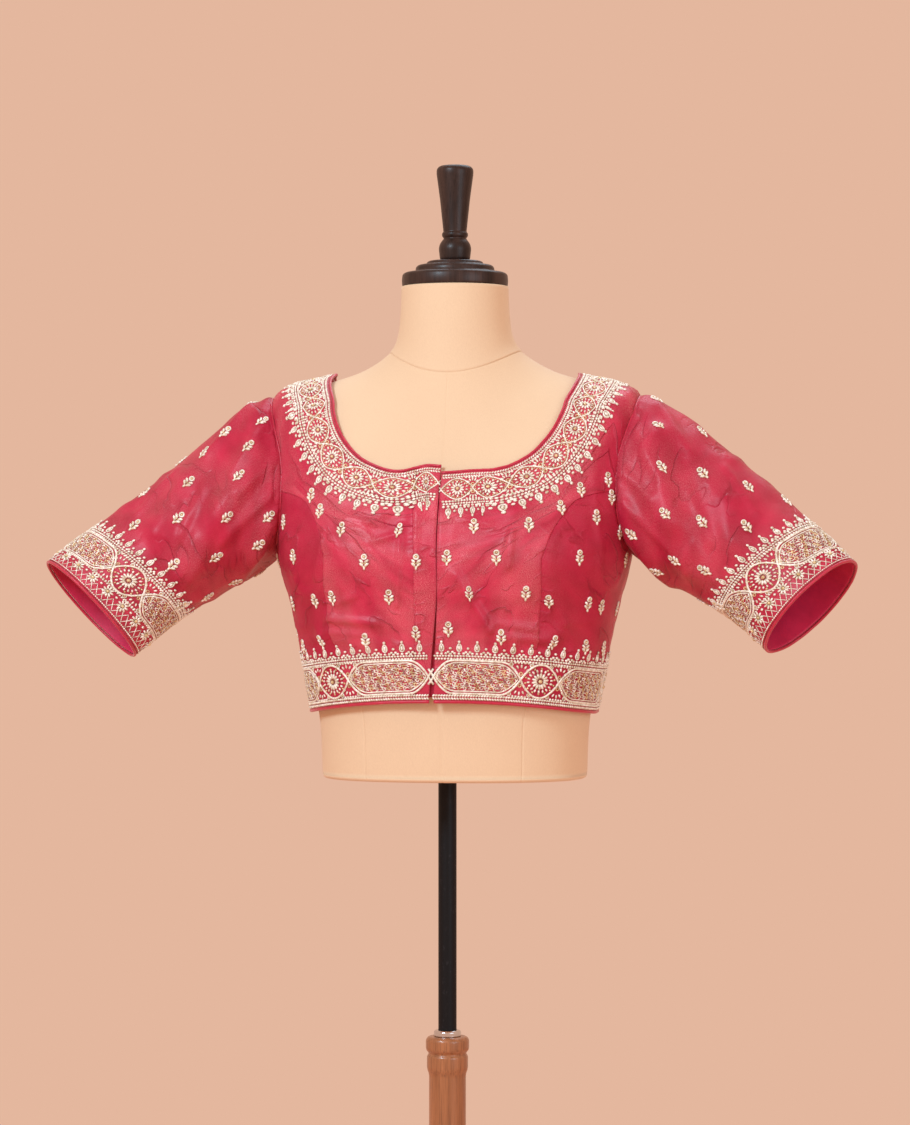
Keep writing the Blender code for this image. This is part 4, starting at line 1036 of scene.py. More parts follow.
def fronts(finishes, side_finishes):
    """The front panels on both sides of the princess seams."""
    for side, name in SIDES:
        offsets = LEFT_EDGE if side > 0 else PLACKET_SEAM
        neck = front_neck_path(offsets[0], side)
        edge = centre_edge(offsets, neck_height(offsets[0]))
        edge[-1] = neck[0]
        seam = princess_path(side)
        top = joined(neck, shoulder_path(side))
        outer = joined(seam, armhole_path(PRINCESS_ANGLE, 0, side))
        hem = hem_path(edge[0, 0], seam[0, 0])
        seams = ("right",) if side > 0 else ("left", "right")
        made = panel("front_" + name, hem, top, edge, outer, seams, CLOTH_CELL, finishes)
        across = side * math.pi / 2
        under = armhole_path(PRINCESS_ANGLE, math.pi, side)
        side_seam = at_angle(across, level(across, HEM_SIDE), ARMHOLE_ROW - ARMHOLE_HALF_ROWS)
        low = hem_path(seam[0, 0], across)
        made = panel("side_front_" + name, low, under, seam, side_seam, ("left", "right", "top"),
                     CLOTH_CELL, side_finishes)


def placket(finishes):
    """The strip sewn along the edge of the right front."""
    across = np.linspace(PLACKET_SEAM[0], RIGHT_EDGE[0], 5)
    top = locate(across, neck_height(across))
    sides = []
    for offsets, corner in ((PLACKET_SEAM, top[0]), (RIGHT_EDGE, top[-1])):
        edge = centre_edge(offsets, neck_height(offsets[0]))
        edge[-1] = corner
        sides.append(edge)
    hem = hem_path(sides[0][0, 0], sides[1][0, 0], 4)
    made = panel("placket", hem, top, *sides, ("left",), PLACKET_CELL, finishes, "front_placket")


def underlap(finishes):
    """The strip behind the centre front opening."""
    rows = 60
    columns = 11
    places = np.linspace(HEM_FRONT + 0.002, UNDERLAP_TOP, rows)
    middle = np.linspace(LEFT_EDGE[2] + RIGHT_EDGE[2], LEFT_EDGE[0] + RIGHT_EDGE[0], rows) / 2
    across = np.linspace(-1, 1, columns)[:, None] * UNDERLAP_HALF_WIDTH
    angle, row = np.moveaxis(locate(middle + across, places), -1, 0)
    outer = cloth_point(angle, row, -UNDERLAP_GAP)
    inner = cloth_point(angle, row, -UNDERLAP_GAP - UNDERLAP_WALL)
    made = placed(shell("cloth_underlap", outer, inner, finishes), "form", "silk_dark", "front_underlap")


def back(finishes):
    """The back, in one piece from side seam to side seam, with its two darts."""
    neck = back_neck_path(1)
    top = joined(shoulder_path(1)[::-1], neck[::-1])
    side_seam = at_angle(math.pi / 2, level(math.pi / 2, HEM_SIDE), ARMHOLE_ROW - ARMHOLE_HALF_ROWS)
    outer = joined(side_seam, armhole_path(math.pi, 2 * math.pi))
    inner = at_angle(math.pi, level(math.pi, HEM_BACK), neck[0, 1])
    hem = hem_path(math.pi / 2, math.pi)
    width = 0.5 * (lengths(hem)[-1] + lengths(top)[-1])
    height = 0.5 * (lengths(outer)[-1] + lengths(inner)[-1])
    u = shares(width, BACK_CELL, True, False)
    v = shares(height, BACK_CELL, False, False)
    grid = fine_grid(hem, top, outer, inner, u, v)
    dip = seam_dip(u, v, width, height, ("left",))
    dip = dip - DART_DIP * bump(np.abs(grid[..., 0] - math.pi + DART_ANGLE), DART_REACH) * (v < DART_SHARE)
    grid = np.concatenate((grid, grid[::-1][1:] * (-1, 1) + (2 * math.pi, 0)))
    dip = np.concatenate((dip, dip[::-1][1:]))
    made = placed(shell("cloth_back", *walls(grid, dip), finishes), "form", "silk", "back")


def sleeves(finishes):
    """Both sleeves, with the underarm seam."""
    down = shares(SLEEVE_LENGTH, SLEEVE_CELL, True, False)[::-1]
    for side, name in SIDES:
        phis = np.linspace(0, 2 * math.pi, round(SLEEVE_GIRTH / SLEEVE_CELL) + 1)[:-1][::side]
        under = bump(np.abs(phis - math.pi) * SLEEVE_ROUND, SEAM_REACH)[:, None]
        dip = -ARMHOLE_DIP * bump(down * SLEEVE_LENGTH, SEAM_REACH)[None] - SEAM_DIP * under
        outer = sleeve_skin(side, phis[:, None], down[None], WALL + dip)
        inner = sleeve_skin(side, phis[:, None], down[None], np.maximum(dip, -0.0003))
        made = shell("cloth_sleeve_" + name, outer, inner, finishes, closed=True)
        placed(made, "form", "silk", "sleeve_" + name)


# The back's darts: angle from the centre, share of the height, dip and reach
DART_ANGLE = 0.62
DART_SHARE = 0.5
DART_DIP = 0.0008
DART_REACH = 0.014

# Silks: name, deep and lit colour, colour and amount of the glints, roughness. The rows are painted lit and
# shaded copies of one silk: the fronts lightest with the most painted glints, the sleeves painted darker, the
# sides painted darkest with the fewest glints
SILKS = (
    ("silk_fronts", (0.38, 0.003, 0.032), (0.60, 0.015, 0.068), (1.0, 0.46, 0.44), 0.50, 0.46),
    ("silk_sleeves", (0.34, 0.002, 0.026), (0.52, 0.010, 0.052), (0.95, 0.38, 0.38), 0.36, 0.50),
    ("silk_sides", (0.37, 0.004, 0.032), (0.50, 0.009, 0.052), (0.85, 0.30, 0.28), 0.22, 0.56),
)
# Threads in the order of their kinds: name, colour of the painted shade in the twist and of the painted
# highlight on top, roughness, metallic share
THREADS = (
    ("thread_ivory", (0.50, 0.38, 0.22), (1.0, 0.97, 0.88), 0.34, 0.12),
    ("thread_gold", (0.34, 0.20, 0.07), (0.92, 0.72, 0.42), 0.32, 0.36),
    ("thread_rose", (0.26, 0.11, 0.09), (0.76, 0.56, 0.48), 0.36, 0.30),
)
# Colours and stretches used in the finishes
BLACK = (0, 0, 0)
WHITE = (1, 1, 1)
EVEN = (1, 1, 1)


class Finish:
    """A Principled material with the noise, ramps and mixes that feed it."""

    def __init__(self, name, colour, roughness, metallic=0.0, cloth=False, **more):
        self.made = bpy.data.materials.new(name)
        self.made.use_nodes = True
        self.nodes = self.made.node_tree.nodes
        self.shader = self.nodes["Principled BSDF"]
        self.fill(self.shader, Base_Color=colour, Roughness=roughness, Metallic=metallic, **more)
        if cloth:
            over = self.nodes.new("ShaderNodeUVMap")
            over.uv_map = "cloth"
            self.source = over.outputs["UV"]
        else:
            self.source = self.nodes.new("ShaderNodeTexCoord").outputs["Object"]

    def fill(self, node, **values):
        """Sets or links a node's sockets by their names."""
        for name, value in values.items():
            socket = node.inputs[name.replace("_", " ")]
            if hasattr(value, "is_output"):
                self.made.node_tree.links.new(value, socket)
            elif socket.type == "RGBA":
                socket.default_value = (*value, 1)
            else:
                socket.default_value = value
        return node

    def speckle(self, stretch, size, detail=3.0, roughness=0.6):
        """Noise over stretched coordinates."""
        place = self.fill(self.nodes.new("ShaderNodeMapping"), Scale=stretch, Vector=self.source)
        grain = self.fill(self.nodes.new("ShaderNodeTexNoise"), Scale=size, Detail=detail,
                          Roughness=roughness, Vector=place.outputs["Vector"])
        return grain.outputs["Fac"]

    def ramp(self, source, *stops):
        """A colour ramp over a value."""
        node = self.fill(self.nodes.new("ShaderNodeValToRGB"), Fac=source)
        while len(node.color_ramp.elements) < len(stops):
            node.color_ramp.elements.new(0.5)
        for element, (place, colour) in zip(node.color_ramp.elements, stops):
            element.position = place
            element.color = (*colour, 1)
        return node.outputs["Color"]

    def blended(self, share, a, b, kind="MIX"):
        """Two colours mixed."""
        mix = self.nodes.new("ShaderNodeMix")
        mix.data_type = "RGBA"
        mix.blend_type = kind
        return self.fill(mix, Factor=share, A=a, B=b).outputs["Result"]

    def relief(self, height, strength, distance, **under):
        """Fine relief from a height, over other relief."""
        bumps = self.nodes.new("ShaderNodeBump")
        self.fill(bumps, Strength=strength, Distance=distance, Height=height, **under)
        return bumps.outputs["Normal"]

    def done(self, **sockets):
        """The material, once its shader's sockets are linked."""
        self.fill(self.shader, **sockets)
        return self.made


def silk(name, deep, lit, glint, amount, roughness):
    """Silk with a weft of fine metal. Its colour mixes a deep and a lit colour by broad noise as painted fold
    shade, darkens along the creases as painted shade, and takes pale glints in short dashes that are partly
    the metal's own colour and partly painted highlight.
    """
    cloth = Finish(name, deep, roughness, cloth=True, Sheen_Weight=0.05, Sheen_Roughness=0.30,
                   Sheen_Tint=(1.0, 0.72, 0.66), Anisotropic=0.30, Specular_IOR_Level=0.26)
    dashes = cloth.speckle((1, 2.4, 1), 820, 3, 0.7)
    creases = creased(cloth)
    # Painted fold shade: a deep and a lit colour mixed by broad noise stand in for the shade and light of
    # soft folds.
    base = cloth.ramp(cloth.speckle((1, 1.6, 1), 26, 3, 0.5), (0.30, deep), (0.72, lit))
    # Painted shade along the creases: the colour is darkened where the crease mask is 1.
    shade = cloth.ramp(creases, (0.0, WHITE), (1.0, (0.82, 0.74, 0.76)))
    base = cloth.blended(1.0, base, shade, "MULTIPLY")
    # Painted highlight: the pale glint colour is mixed in over short dashes, in patches, by each copy's
    # amount. It is partly the metal weft's own pale colour.
    spark = cloth.ramp(dashes, (0.45, BLACK), (0.66, WHITE))
    patch = cloth.ramp(cloth.speckle(EVEN, 15, 2, 0.5), (0.36, (0.25, 0.25, 0.25)), (0.60, WHITE))
    painted_glint_share = cloth.blended(1.0, spark, patch, "MULTIPLY")
    painted_glint_share = cloth.blended(1.0, painted_glint_share, (amount,) * 3, "MULTIPLY")
    rough = cloth.ramp(dashes, (0.3, (roughness,) * 3), (0.75, (roughness - 0.14,) * 3))
    weave = cloth.blended(0.5, dashes, cloth.speckle(EVEN, 2600, 1, 0.5))
    relief = cloth.relief(weave, 0.22, 0.0004, Normal=cloth.relief(creases, 0.8, 0.0012))
    return cloth.done(Base_Color=cloth.blended(painted_glint_share, base, glint), Roughness=rough, Normal=relief)


# The crease mask below drives both the creases' bump and their painted shade in the silk's colour.
def creased(cloth):
    """Thin pressed creases that come and go, 1 along their middles."""
    soft = cloth.speckle((1, 2.0, 1), 24, 2, 0.35)
    near = cloth.ramp(soft, (0.42, BLACK), (0.50, WHITE), (0.52, BLACK))
    where = cloth.ramp(cloth.speckle(EVEN, 19, 1, 0.5), (0.44, BLACK), (0.60, WHITE))
    return cloth.blended(1.0, near, where, "MULTIPLY")


def lining():
    """Smooth lining inside the cloth."""
    cloth = Finish("lining", (0.62, 0.012, 0.080), 0.6, cloth=True, Sheen_Weight=0.1)
    colour = cloth.ramp(cloth.speckle(EVEN, 30), (0.3, (0.54, 0.010, 0.066)), (0.7, (0.70, 0.018, 0.096)))
    return cloth.done(Base_Color=colour, Normal=cloth.relief(cloth.speckle(EVEN, 900), 0.25, 0.0003))


def thread(name, dark, light, roughness, metallic):
    """Metal thread or beads: a darker and a brighter colour mixed by fine noise, the darker as painted shade
    in the twist, the brighter as painted highlight on top.
    """
    gilt = Finish(name, light, roughness, metallic)
    twist = gilt.speckle(EVEN, 1500, 2, 0.5)
    both = gilt.blended(0.5, twist, gilt.speckle(EVEN, 260, 2, 0.5))
    # Painted shade and highlight: the twist's darker and the top's brighter colour are mixed by noise, not by
    # where the twist or top lies.
    return gilt.done(Base_Color=gilt.ramp(both, (0.34, dark), (0.58, light)),
                     Normal=gilt.relief(twist, 0.5, 0.0004))


def satin(name, deep, lit):
    """Satin cut on the bias, over a cord."""
    cloth = Finish(name, deep, 0.38, Sheen_Weight=0.25)
    return cloth.done(Base_Color=cloth.ramp(cloth.speckle(EVEN, 420, 3), (0.3, deep), (0.7, lit)),
                      Normal=cloth.relief(cloth.speckle(EVEN, 1900, 2), 0.4, 0.0004))


def jersey():
    """The form's knitted cover."""
    cover = Finish("jersey", (0.90, 0.62, 0.40), 0.85, Sheen_Weight=0.10)
    broad = cover.speckle((1, 1, 0.6), 22, 3)
    knit = cover.speckle((1, 1, 0.35), 1300, 2)
    pale = cover.blended(knit, (0.70, 0.505, 0.325), (0.80, 0.605, 0.40))
    deep = cover.blended(knit, (0.67, 0.475, 0.305), (0.775, 0.57, 0.375))
    return cover.done(Base_Color=cover.blended(broad, deep, pale), Normal=cover.relief(knit, 0.3, 0.0004))


def wood(name, dark, light, roughness, coat, specular=0.5):
    """Polished turned wood with its grain up the piece."""
    polish = Finish(name, light, roughness, Coat_Weight=coat, Coat_Roughness=0.12,
                    Specular_IOR_Level=specular)
    pores = polish.speckle((1, 1, 0.03), 760, 3, 0.7)
    colour = polish.ramp(polish.speckle((1, 1, 0.05), 100, 4, 0.6), (0.30, dark), (0.62, light))
    line = polish.ramp(pores, (0.34, (0.45, 0.45, 0.45)), (0.50, WHITE))
    return polish.done(Base_Color=polish.blended(0.7, colour, line, "MULTIPLY"),
                       Normal=polish.relief(pores, 0.12, 0.0004))


def metal(name, colour, roughness, metallic, streak, specular=0.5):
    """Drawn metal with fine streaks along its length."""
    drawn = Finish(name, colour, roughness, metallic, Specular_IOR_Level=specular)
    lines = drawn.speckle((1, 1, 0.02), 1400, 2)
    specks = drawn.speckle((1, 1, 0.5), 300, 4, 0.7)
    bright = tuple(min(1.0, c * streak + 0.01) for c in colour)
    rough = drawn.ramp(lines, (0.3, (roughness,) * 3), (0.7, (roughness + 0.12,) * 3))
    return drawn.done(Base_Color=drawn.ramp(specks, (0.60, colour), (0.78, bright)), Roughness=rough)


# Rows of beads of the borders: distance in from the edge, pitch, half length, half width, turn
NECK_BEADS = (
    (0.0026, 0.0025, 0.0017, 0.00095, 0.7), (0.0054, 0.0025, 0.0017, 0.00095, -0.7),
    (0.0312, 0.0029, 0.0014, 0.0013, 0.0), (0.034, 0.0027, 0.0014, 0.0012, 0.5),
)
HEM_BEADS = (
    (0.0012, 0.0026, 0.0018, 0.0011, 0.7), (0.0042, 0.0026, 0.0018, 0.0011, -0.7),
    (0.0402, 0.0029, 0.0014, 0.0013, 0.0), (0.043, 0.0027, 0.0014, 0.0012, 0.5),
)
CUFF_BEADS = (
    (0.0018, 0.0024, 0.0013, 0.0008, 0.0), (0.0205, 0.0028, 0.0014, 0.001, 0.5),
    (0.0552, 0.0029, 0.0014, 0.0013, 0.0), (0.0578, 0.0027, 0.0014, 0.0012, 0.5),
)
# Chains of medallions: distance in of their middle, half height, long and short lengths
NECK_CHAIN = (0.0183, 0.0112, 0.0300)
HEM_CHAIN = (0.0224, 0.0162, 0.080, 0.038)
CUFF_CHAIN = (0.0378, 0.0160, 0.074, 0.038)
MEDALLION_BEND = 0.0185
# Drops along a border's inner side: distance in, size, pitch
NECK_SPIKES = (0.0366, 1.12, 0.0118)
HEM_SPIKES = (0.0454, 1.20, 0.0160)
CUFF_SPIKES = (0.0604, 1.16, 0.0142)
# The cuffs' net of thread: its outer and inner reach, pitch and thickness, and its daisies' pitch
NET_LOW = 0.0032
NET_HIGH = 0.0135
NET_PITCH = 0.0145
NET_THICK = 0.00046
DAISY_PITCH = 0.0200
# Scrolls in a long medallion: steps along and in, reach and thickness
SCROLL_ALONG = 0.0042
SCROLL_IN = 0.0036
SCROLL_REACH = 0.0024
SCROLL_THICK = 0.00064


def bead_rows(work, length, rows):
    """Rows of beads all along a border."""
    for d, pitch, long, wide, turn in rows:
        s = np.arange(pitch / 2, length, pitch)
        work.seed(np.stack((s, np.full(len(s), d)), 1), long, wide, turn)


def flower(work, s, d, size, petals=12, reach=0.0044):
    """Petals round a gold heart."""
    turns = evenly(petals) + 0.2
    around = np.stack((s + reach * size * np.cos(turns), d + reach * size * np.sin(turns)), 1)
    work.seed(around, 0.0025 * size, 0.00105 * size, turns)
    work.seed((s, d), 0.0017 * size, 0.0017 * size, 0, GOLD)


def halo(work, s, d, wide, high, count, long, thick, kind=IVORY):
    """Beads in a ring round a flower, pointing out."""
    turns = (np.arange(count) + 0.5) * 2 * math.pi / count
    ring = np.stack((s + wide * np.cos(turns), d + high * np.sin(turns)), 1)
    work.seed(ring, long, thick, turns, kind)


def bowed(s, s0, s1):
    """How far a medallion's outline is from its middle line, from 0 at its ends to 1."""
    near = np.clip(np.minimum(s - s0, s1 - s) / min(MEDALLION_BEND, (s1 - s0) / 2), -1, 1)
    return np.sign(near) * np.sin(np.abs(near) * math.pi / 2) ** 0.85


def lens(work, s0, s1, centre, half, radius, cross=0.0, inset=0.0):
    """Two bowed cords that cross at both ends."""
    steps = 12 + round((s1 - s0) / 0.0040)
    s = np.linspace(s0 + inset - cross, s1 - inset + cross, steps)
    bow = bowed(s, s0 + inset, s1 - inset) * (half - inset)
    for way in (1, -1):
        work.cord(np.stack((s, centre + way * bow), 1), radius)


def stitched(work, s0, s1, centre, half):
    """Slanted gold stitches inside both sides of a medallion."""
    inset = 0.0019
    pitch = 0.0024
    s = np.linspace(s0 + inset, s1 - inset, 200)
    bow = bowed(s, s0 + inset, s1 - inset) * (half - inset)
    far = run_up(np.hypot(np.diff(s), np.diff(bow)))
    turns = np.arctan2(np.gradient(bow), np.gradient(s))
    wanted = np.arange(pitch / 2, far[-1], pitch)
    along_s, away, turn = (np.interp(wanted, far, values) for values in (s, bow, turns))
    for way in (1, -1):
        work.seed(np.stack((along_s, centre + way * away), 1), 0.0011, 0.0006, way * turn + 0.5, GOLD)


def curl(work, s, d, turn, way, kind):
    """A small scroll."""
    t = np.linspace(0.15, 1, 8)
    angle = turn + way * t * 2 * math.pi * 1.2
    r = SCROLL_REACH * t
    work.cord(np.stack((s + r * np.cos(angle), d + r * np.sin(angle)), 1), SCROLL_THICK, kind, sides=4)


def scrolls(work, s0, s1, centre, half):
    """Fine scrollwork that fills a long medallion."""
    rows = int(half / SCROLL_IN) + 1
    number = 0
    for j in range(-rows, rows + 1):
        for i in range(int((s1 - s0) / SCROLL_ALONG) + 1):
            s = s0 + (i + 0.5 * (j % 2)) * SCROLL_ALONG
            d = centre + j * SCROLL_IN
            number += 1
            if half * bowed(s, s0, s1) - abs(d - centre) < 0.0006 or not s0 < s < s1:
                continue
            kind = (IVORY, ROSE, GOLD, IVORY, ROSE, IVORY, GOLD)[number % 7]
            curl(work, s, d, number * 2.4, 1 if number % 2 else -1, kind)
            work.seed((s + SCROLL_ALONG / 2, d + 0.0006), 0.0010, 0.0009, 0, (GOLD, IVORY)[number % 2])


def spike(work, s, d, size):
    """A slim drop of cord with a bead in it, one on its point, and a foot of beads."""
    t = np.linspace(0, 2 * math.pi, 11)[:-1]
    x = 0.0017 * size * np.sin(t) * (1 + 0.30 * np.cos(t))
    y = 0.0032 * size * (1 - np.cos(t)) + 0.0018 * size
    work.cord(np.stack((s + x, d + y), 1), 0.00080, IVORY, closed=True, sides=4)
    work.seed((s, d + 0.0048 * size), 0.0024 * size, 0.0010 * size, math.pi / 2)
    work.seed((s, d + 0.0098 * size), 0.0015 * size, 0.0012 * size, math.pi / 2)
    foot = ((s - 0.0034 * size, d + 0.0002), (s, d), (s + 0.0034 * size, d + 0.0002))
    work.seed(foot, 0.0015, 0.0014)


def small_spike(work, s, d, size):
    """A little heap of beads between two drops."""
    places = ((s - 0.0019, d + 0.0016), (s + 0.0019, d + 0.0016), (s, d - 0.0004), (s, d + 0.0044 * size))
    work.seed(places, 0.0015, 0.0014)


def spikes(work, length, d, size, pitch):
    """Drops and heaps of beads by turns."""
    count = round(length / pitch)
    for k in range(count):
        s = (k + 0.5) * length / count
        spike(work, s, d, size)
        if k < count - 1:
            small_spike(work, s + 0.5 * length / count, d, size)


def corner_fill(work, s, centre, half):
    """Fans of petals with a ring and beads in the gaps above and below a crossing."""
    fan = np.radians((-58, -30, 0, 30, 58))
    tips = s + np.array((-0.0062, -0.0031, 0, 0.0031, 0.0062))
    for way in (1, -1):
        base = centre + way * half * 0.36
        places = np.stack((s + half * 0.46 * np.sin(fan), base + way * half * 0.46 * np.cos(fan)), 1)
        work.seed(places, 0.0021, 0.0010, way * (math.pi / 2 - fan))
        work.ring((s, base), 0.0015, 0.00060, GOLD, 8)
        work.seed(np.stack((tips, np.full(5, centre + way * half * 1.02)), 1), 0.0013, 0.0012)


def neck_work(work, length):
    """The neck's border: slanted beads, a chain of medallions with flowers, beads and spikes."""
    bead_rows(work, length, NECK_BEADS)
    centre, half, long = NECK_CHAIN
    count = round(length / long)
    step = length / count
    for k in range(count):
        s0 = k * step
        lens(work, s0, s0 + step, centre, half, 0.00072, cross=0.0016)
        stitched(work, s0, s0 + step, centre, half)
        flower(work, s0 + step / 2, centre, 1.05)
        halo(work, s0 + step / 2, centre, 0.0094, 0.0076, 14, 0.0015, 0.0010)
        if k:
            corner_fill(work, s0, centre, half)
    spikes(work, length, *NECK_SPIKES)


def zones(length, large, small, closed):
    """Long and short medallions by turns, fitted to a length: their ends and whether each is long."""
    last = 0.0 if closed else large
    pairs = max(1, round((length - last) / (large + small)))
    scale = length / (pairs * (large + small) + last)
    sizes = [(large, True), (small, False)] * pairs
    if not closed:
        sizes.append((large, True))
    found = []
    s = 0.0
    for size, is_long in sizes:
        found.append((s, s + size * scale, is_long))
        s += size * scale
    return found


def medallions(work, length, centre, half, large, small, closed):
    """Scroll-filled long medallions and flowered short ones, their cords crossing between them."""
    for s0, s1, is_long in zones(length, large, small, closed):
        middle = (s0 + s1) / 2
        lens(work, s0, s1, centre, half, 0.00110, cross=0.0050)
        if is_long:
            lens(work, s0, s1, centre, half, 0.00070, inset=0.0024)
            scrolls(work, s0, s1, centre, half - 0.0030)
        else:
            flower(work, middle, centre, 1.3, 14)
            halo(work, middle, centre, 0.0118, 0.0102, 18, 0.0018, 0.0011)
            halo(work, middle, centre, 0.0148, 0.0124, 14, 0.0012, 0.0011, GOLD)
        if s0 > 0:
            corner_fill(work, s0, centre, half)
            for way in (1, -1):
                for side in (-1, 1):
                    place = (s0 + side * 0.0098, centre + way * half * 0.90)
                    work.ring(place, 0.0018, 0.00060, IVORY, 8)
                    work.seed(place, 0.0009, 0.0009, 0, GOLD)


def hem_work(work, length):
    """The hem's border."""
    bead_rows(work, length, HEM_BEADS)
    medallions(work, length, *HEM_CHAIN, False)
    spikes(work, length, *HEM_SPIKES)


def cuff_work(work, length):
    """A cuff's border: a net of thread with daisies, then medallions and spikes."""
    bead_rows(work, length, CUFF_BEADS)
    count = round(length / NET_PITCH)
    knots = np.arange(2 * count + 1)
    steps = np.arange(0, 2 * count + 0.01, 0.25)
    d = np.where(knots % 2 == 0, NET_LOW, NET_HIGH)
    for shift in (0, 0.5):
        s = (knots * 0.5 + shift) * length / count
        work.cord(np.stack([np.interp(steps, knots, f) for f in (s, d)], 1), NET_THICK, sides=4)
    daisies = round(length / DAISY_PITCH)
    for k in range(daisies):
        flower(work, (k + 0.5) * length / daisies, 0.0148, 1.12, 9, 0.0036)
        work.seed(((k + 1.0) * length / daisies, 0.0165), 0.0016, 0.0014)
    medallions(work, length, *CUFF_CHAIN, True)
    spikes(work, length, *CUFF_SPIKES)


def buti():
    """One small flower: a ringed head, two pairs of leaves and a point. Its own up is the second axis."""
    work = Work()
    work.ring((0, 0.0040), 0.0021, 0.00090, IVORY, 10)
    work.seed((0, 0.0040), 0.0012, 0.0012, 0, GOLD)
    for low in (0.0, -0.0029):
        for side in (-1, 1):
            work.seed((side * 0.0024, low + 0.0003), 0.0026, 0.00135, side * 0.62)
            work.seed((side * 0.0012, low - 0.0013), 0.0016, 0.0008, side * 0.62, GOLD)
    work.seed((0, -0.0056), 0.0020, 0.0012, math.pi / 2)
    return work


def laid(place, start, up, flat):
    """Flat points laid on a cloth round a place, with their second axis along a direction."""
    a, b = start
    step = 0.004
    by_a = (place(a + step, b, 0.0) - place(a - step, b, 0.0)) / (2 * step)
    by_b = (place(a, b + step, 0.0) - place(a, b - step, 0.0)) / (2 * step)
    out = unit(np.cross(by_a, by_b))
    up = unit(up - np.dot(up, out) * out)
    metric = np.array(((by_a @ by_a, by_a @ by_b), (by_a @ by_b, by_b @ by_b)))
    target = flat[:, :1] * np.cross(up, out) + flat[:, 1:2] * up
    steps = np.stack((target @ by_a, target @ by_b), 1) @ np.linalg.inv(metric)
    return place(a + steps[:, 0], b + steps[:, 1], flat[:, 2])


# Small flowers of the body: angle round in degrees, negative on the wearer's right, and height
BODY_BUTIS = (
    (8.3, 1.165), (25.1, 1.166), (-27.9, 1.162), (-9.1, 1.161), (44.2, 1.201), (58.2, 1.211),
    (61.0, 1.194), (36.3, 1.183), (52.9, 1.174), (-37.2, 1.180), (-41.9, 1.196), (-20.3, 1.131),
    (-4.6, 1.131), (1.9, 1.135), (15.6, 1.135), (47.3, 1.135), (-55.9, 1.136), (-36.9, 1.096),
    (-13.6, 1.097), (-47.5, 1.093), (8.3, 1.101), (27.1, 1.101), (36.8, 1.093), (57.9, 1.090),
    (67.7, 1.087), (-24.3, 1.055), (-5.9, 1.062), (2.2, 1.066), (19.2, 1.059), (41.4, 1.053),
    (60.2, 1.048), (77.0, 1.046), (-47.5, 1.053), (-66.6, 1.047), (-70.0, 1.090), (-62.0, 1.170),
    (-80.0, 1.133), (80.0, 1.133), (-86.0, 1.060), (88.0, 1.085), (70.0, 1.160),
)
BACK_BUTI_ROWS = (1.060, 1.098, 1.136, 1.174)
BACK_BUTI_PITCH = 0.056
BACK_BUTI_REACH = 0.135
BUTI_SIZE = 1.12
# Small flowers of the sleeves: angle round in degrees and share of the length
LEFT_SLEEVE_BUTIS = (
    (11, 0.08), (40, 0.14), (15, 0.30), (66, 0.23), (52, 0.38), (35, 0.54), (11, 0.66), (95, 0.30),
    (87, 0.46), (69, 0.63), (121, 0.54), (178, 0.53), (124, 0.10), (124, 0.37), (150, 0.24),
    (156, 0.66), (196, 0.26), (212, 0.48), (232, 0.16), (240, 0.62), (256, 0.36), (278, 0.54),
    (284, 0.20), (304, 0.66), (310, 0.40), (326, 0.12), (340, 0.56), (346, 0.28),
)
RIGHT_SLEEVE_BUTIS = (
    (41, 0.05), (30, 0.22), (57, 0.14), (35, 0.32), (52, 0.41), (73, 0.21), (24, 0.57), (56, 0.66),
    (76, 0.50), (97, 0.29), (108, 0.60), (121, 0.38), (163, 0.49), (112, 0.07), (162, 0.30),
    (129, 0.14), (152, 0.66), (4, 0.42), (8, 0.10), (196, 0.18), (206, 0.60), (222, 0.38),
    (240, 0.16), (250, 0.58), (266, 0.32), (286, 0.50), (294, 0.14), (312, 0.66), (322, 0.36),
    (336, 0.18), (342, 0.56),
)


def butis(finishes):
    """The small flowers scattered over the cloth."""
    motif = buti()
    flat = motif.flat() * BUTI_SIZE
    places = []
    for degrees, z in BODY_BUTIS:
        angle = math.radians(degrees)
        places.append((angle, level(np.array(angle), z)))
    for j, z in enumerate(BACK_BUTI_ROWS):
        for i in range(-2, 3):
            x = (i + 0.5 * (j % 2)) * BACK_BUTI_PITCH
            if abs(x) < BACK_BUTI_REACH:
                places.append(tuple(locate(x, z, True)))
    on_body = lambda a, b, h: skin(a, b, WALL + h)
    laid_on = [laid(on_body, place, np.array((0, 0, 1.0)), flat) for place in places]
    motif.build("butis_body", laid_on, finishes)
    for side, name in SIDES:
        on_sleeve = lambda a, b, h: sleeve_skin(side, a, b, WALL + h)
        down = sleeve_frame(side)[0]
        table = LEFT_SLEEVE_BUTIS if side > 0 else RIGHT_SLEEVE_BUTIS
        laid_on = [laid(on_sleeve, (math.radians(a), b), -down, flat) for a, b in table]
        motif.build("butis_sleeve_" + name, laid_on, finishes)


def bordered(name, grid, draw, finishes, node):
    """A border drawn flat and laid on the cloth in place of its node."""
    work = Work()
    draw(work, grid.far[-1])
    made = work.build(name, [grid.at(*work.flat().T)], finishes)
    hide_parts(node)


def borders(finishes):
    """The borders round the neck, the hem and the cuffs."""
    bordered("zari_neck", edge_grid(neckline(), 1, 0.052), neck_work, finishes, "neck_border")
    bordered("zari_hem", edge_grid(hem_round(), -1, 0.060), hem_work, finishes, "hem_border")
    for side, name in SIDES:
        bordered("zari_cuff_" + name, cuff_grid(side, 0.074), cuff_work, finishes, "cuff_border_" + name)


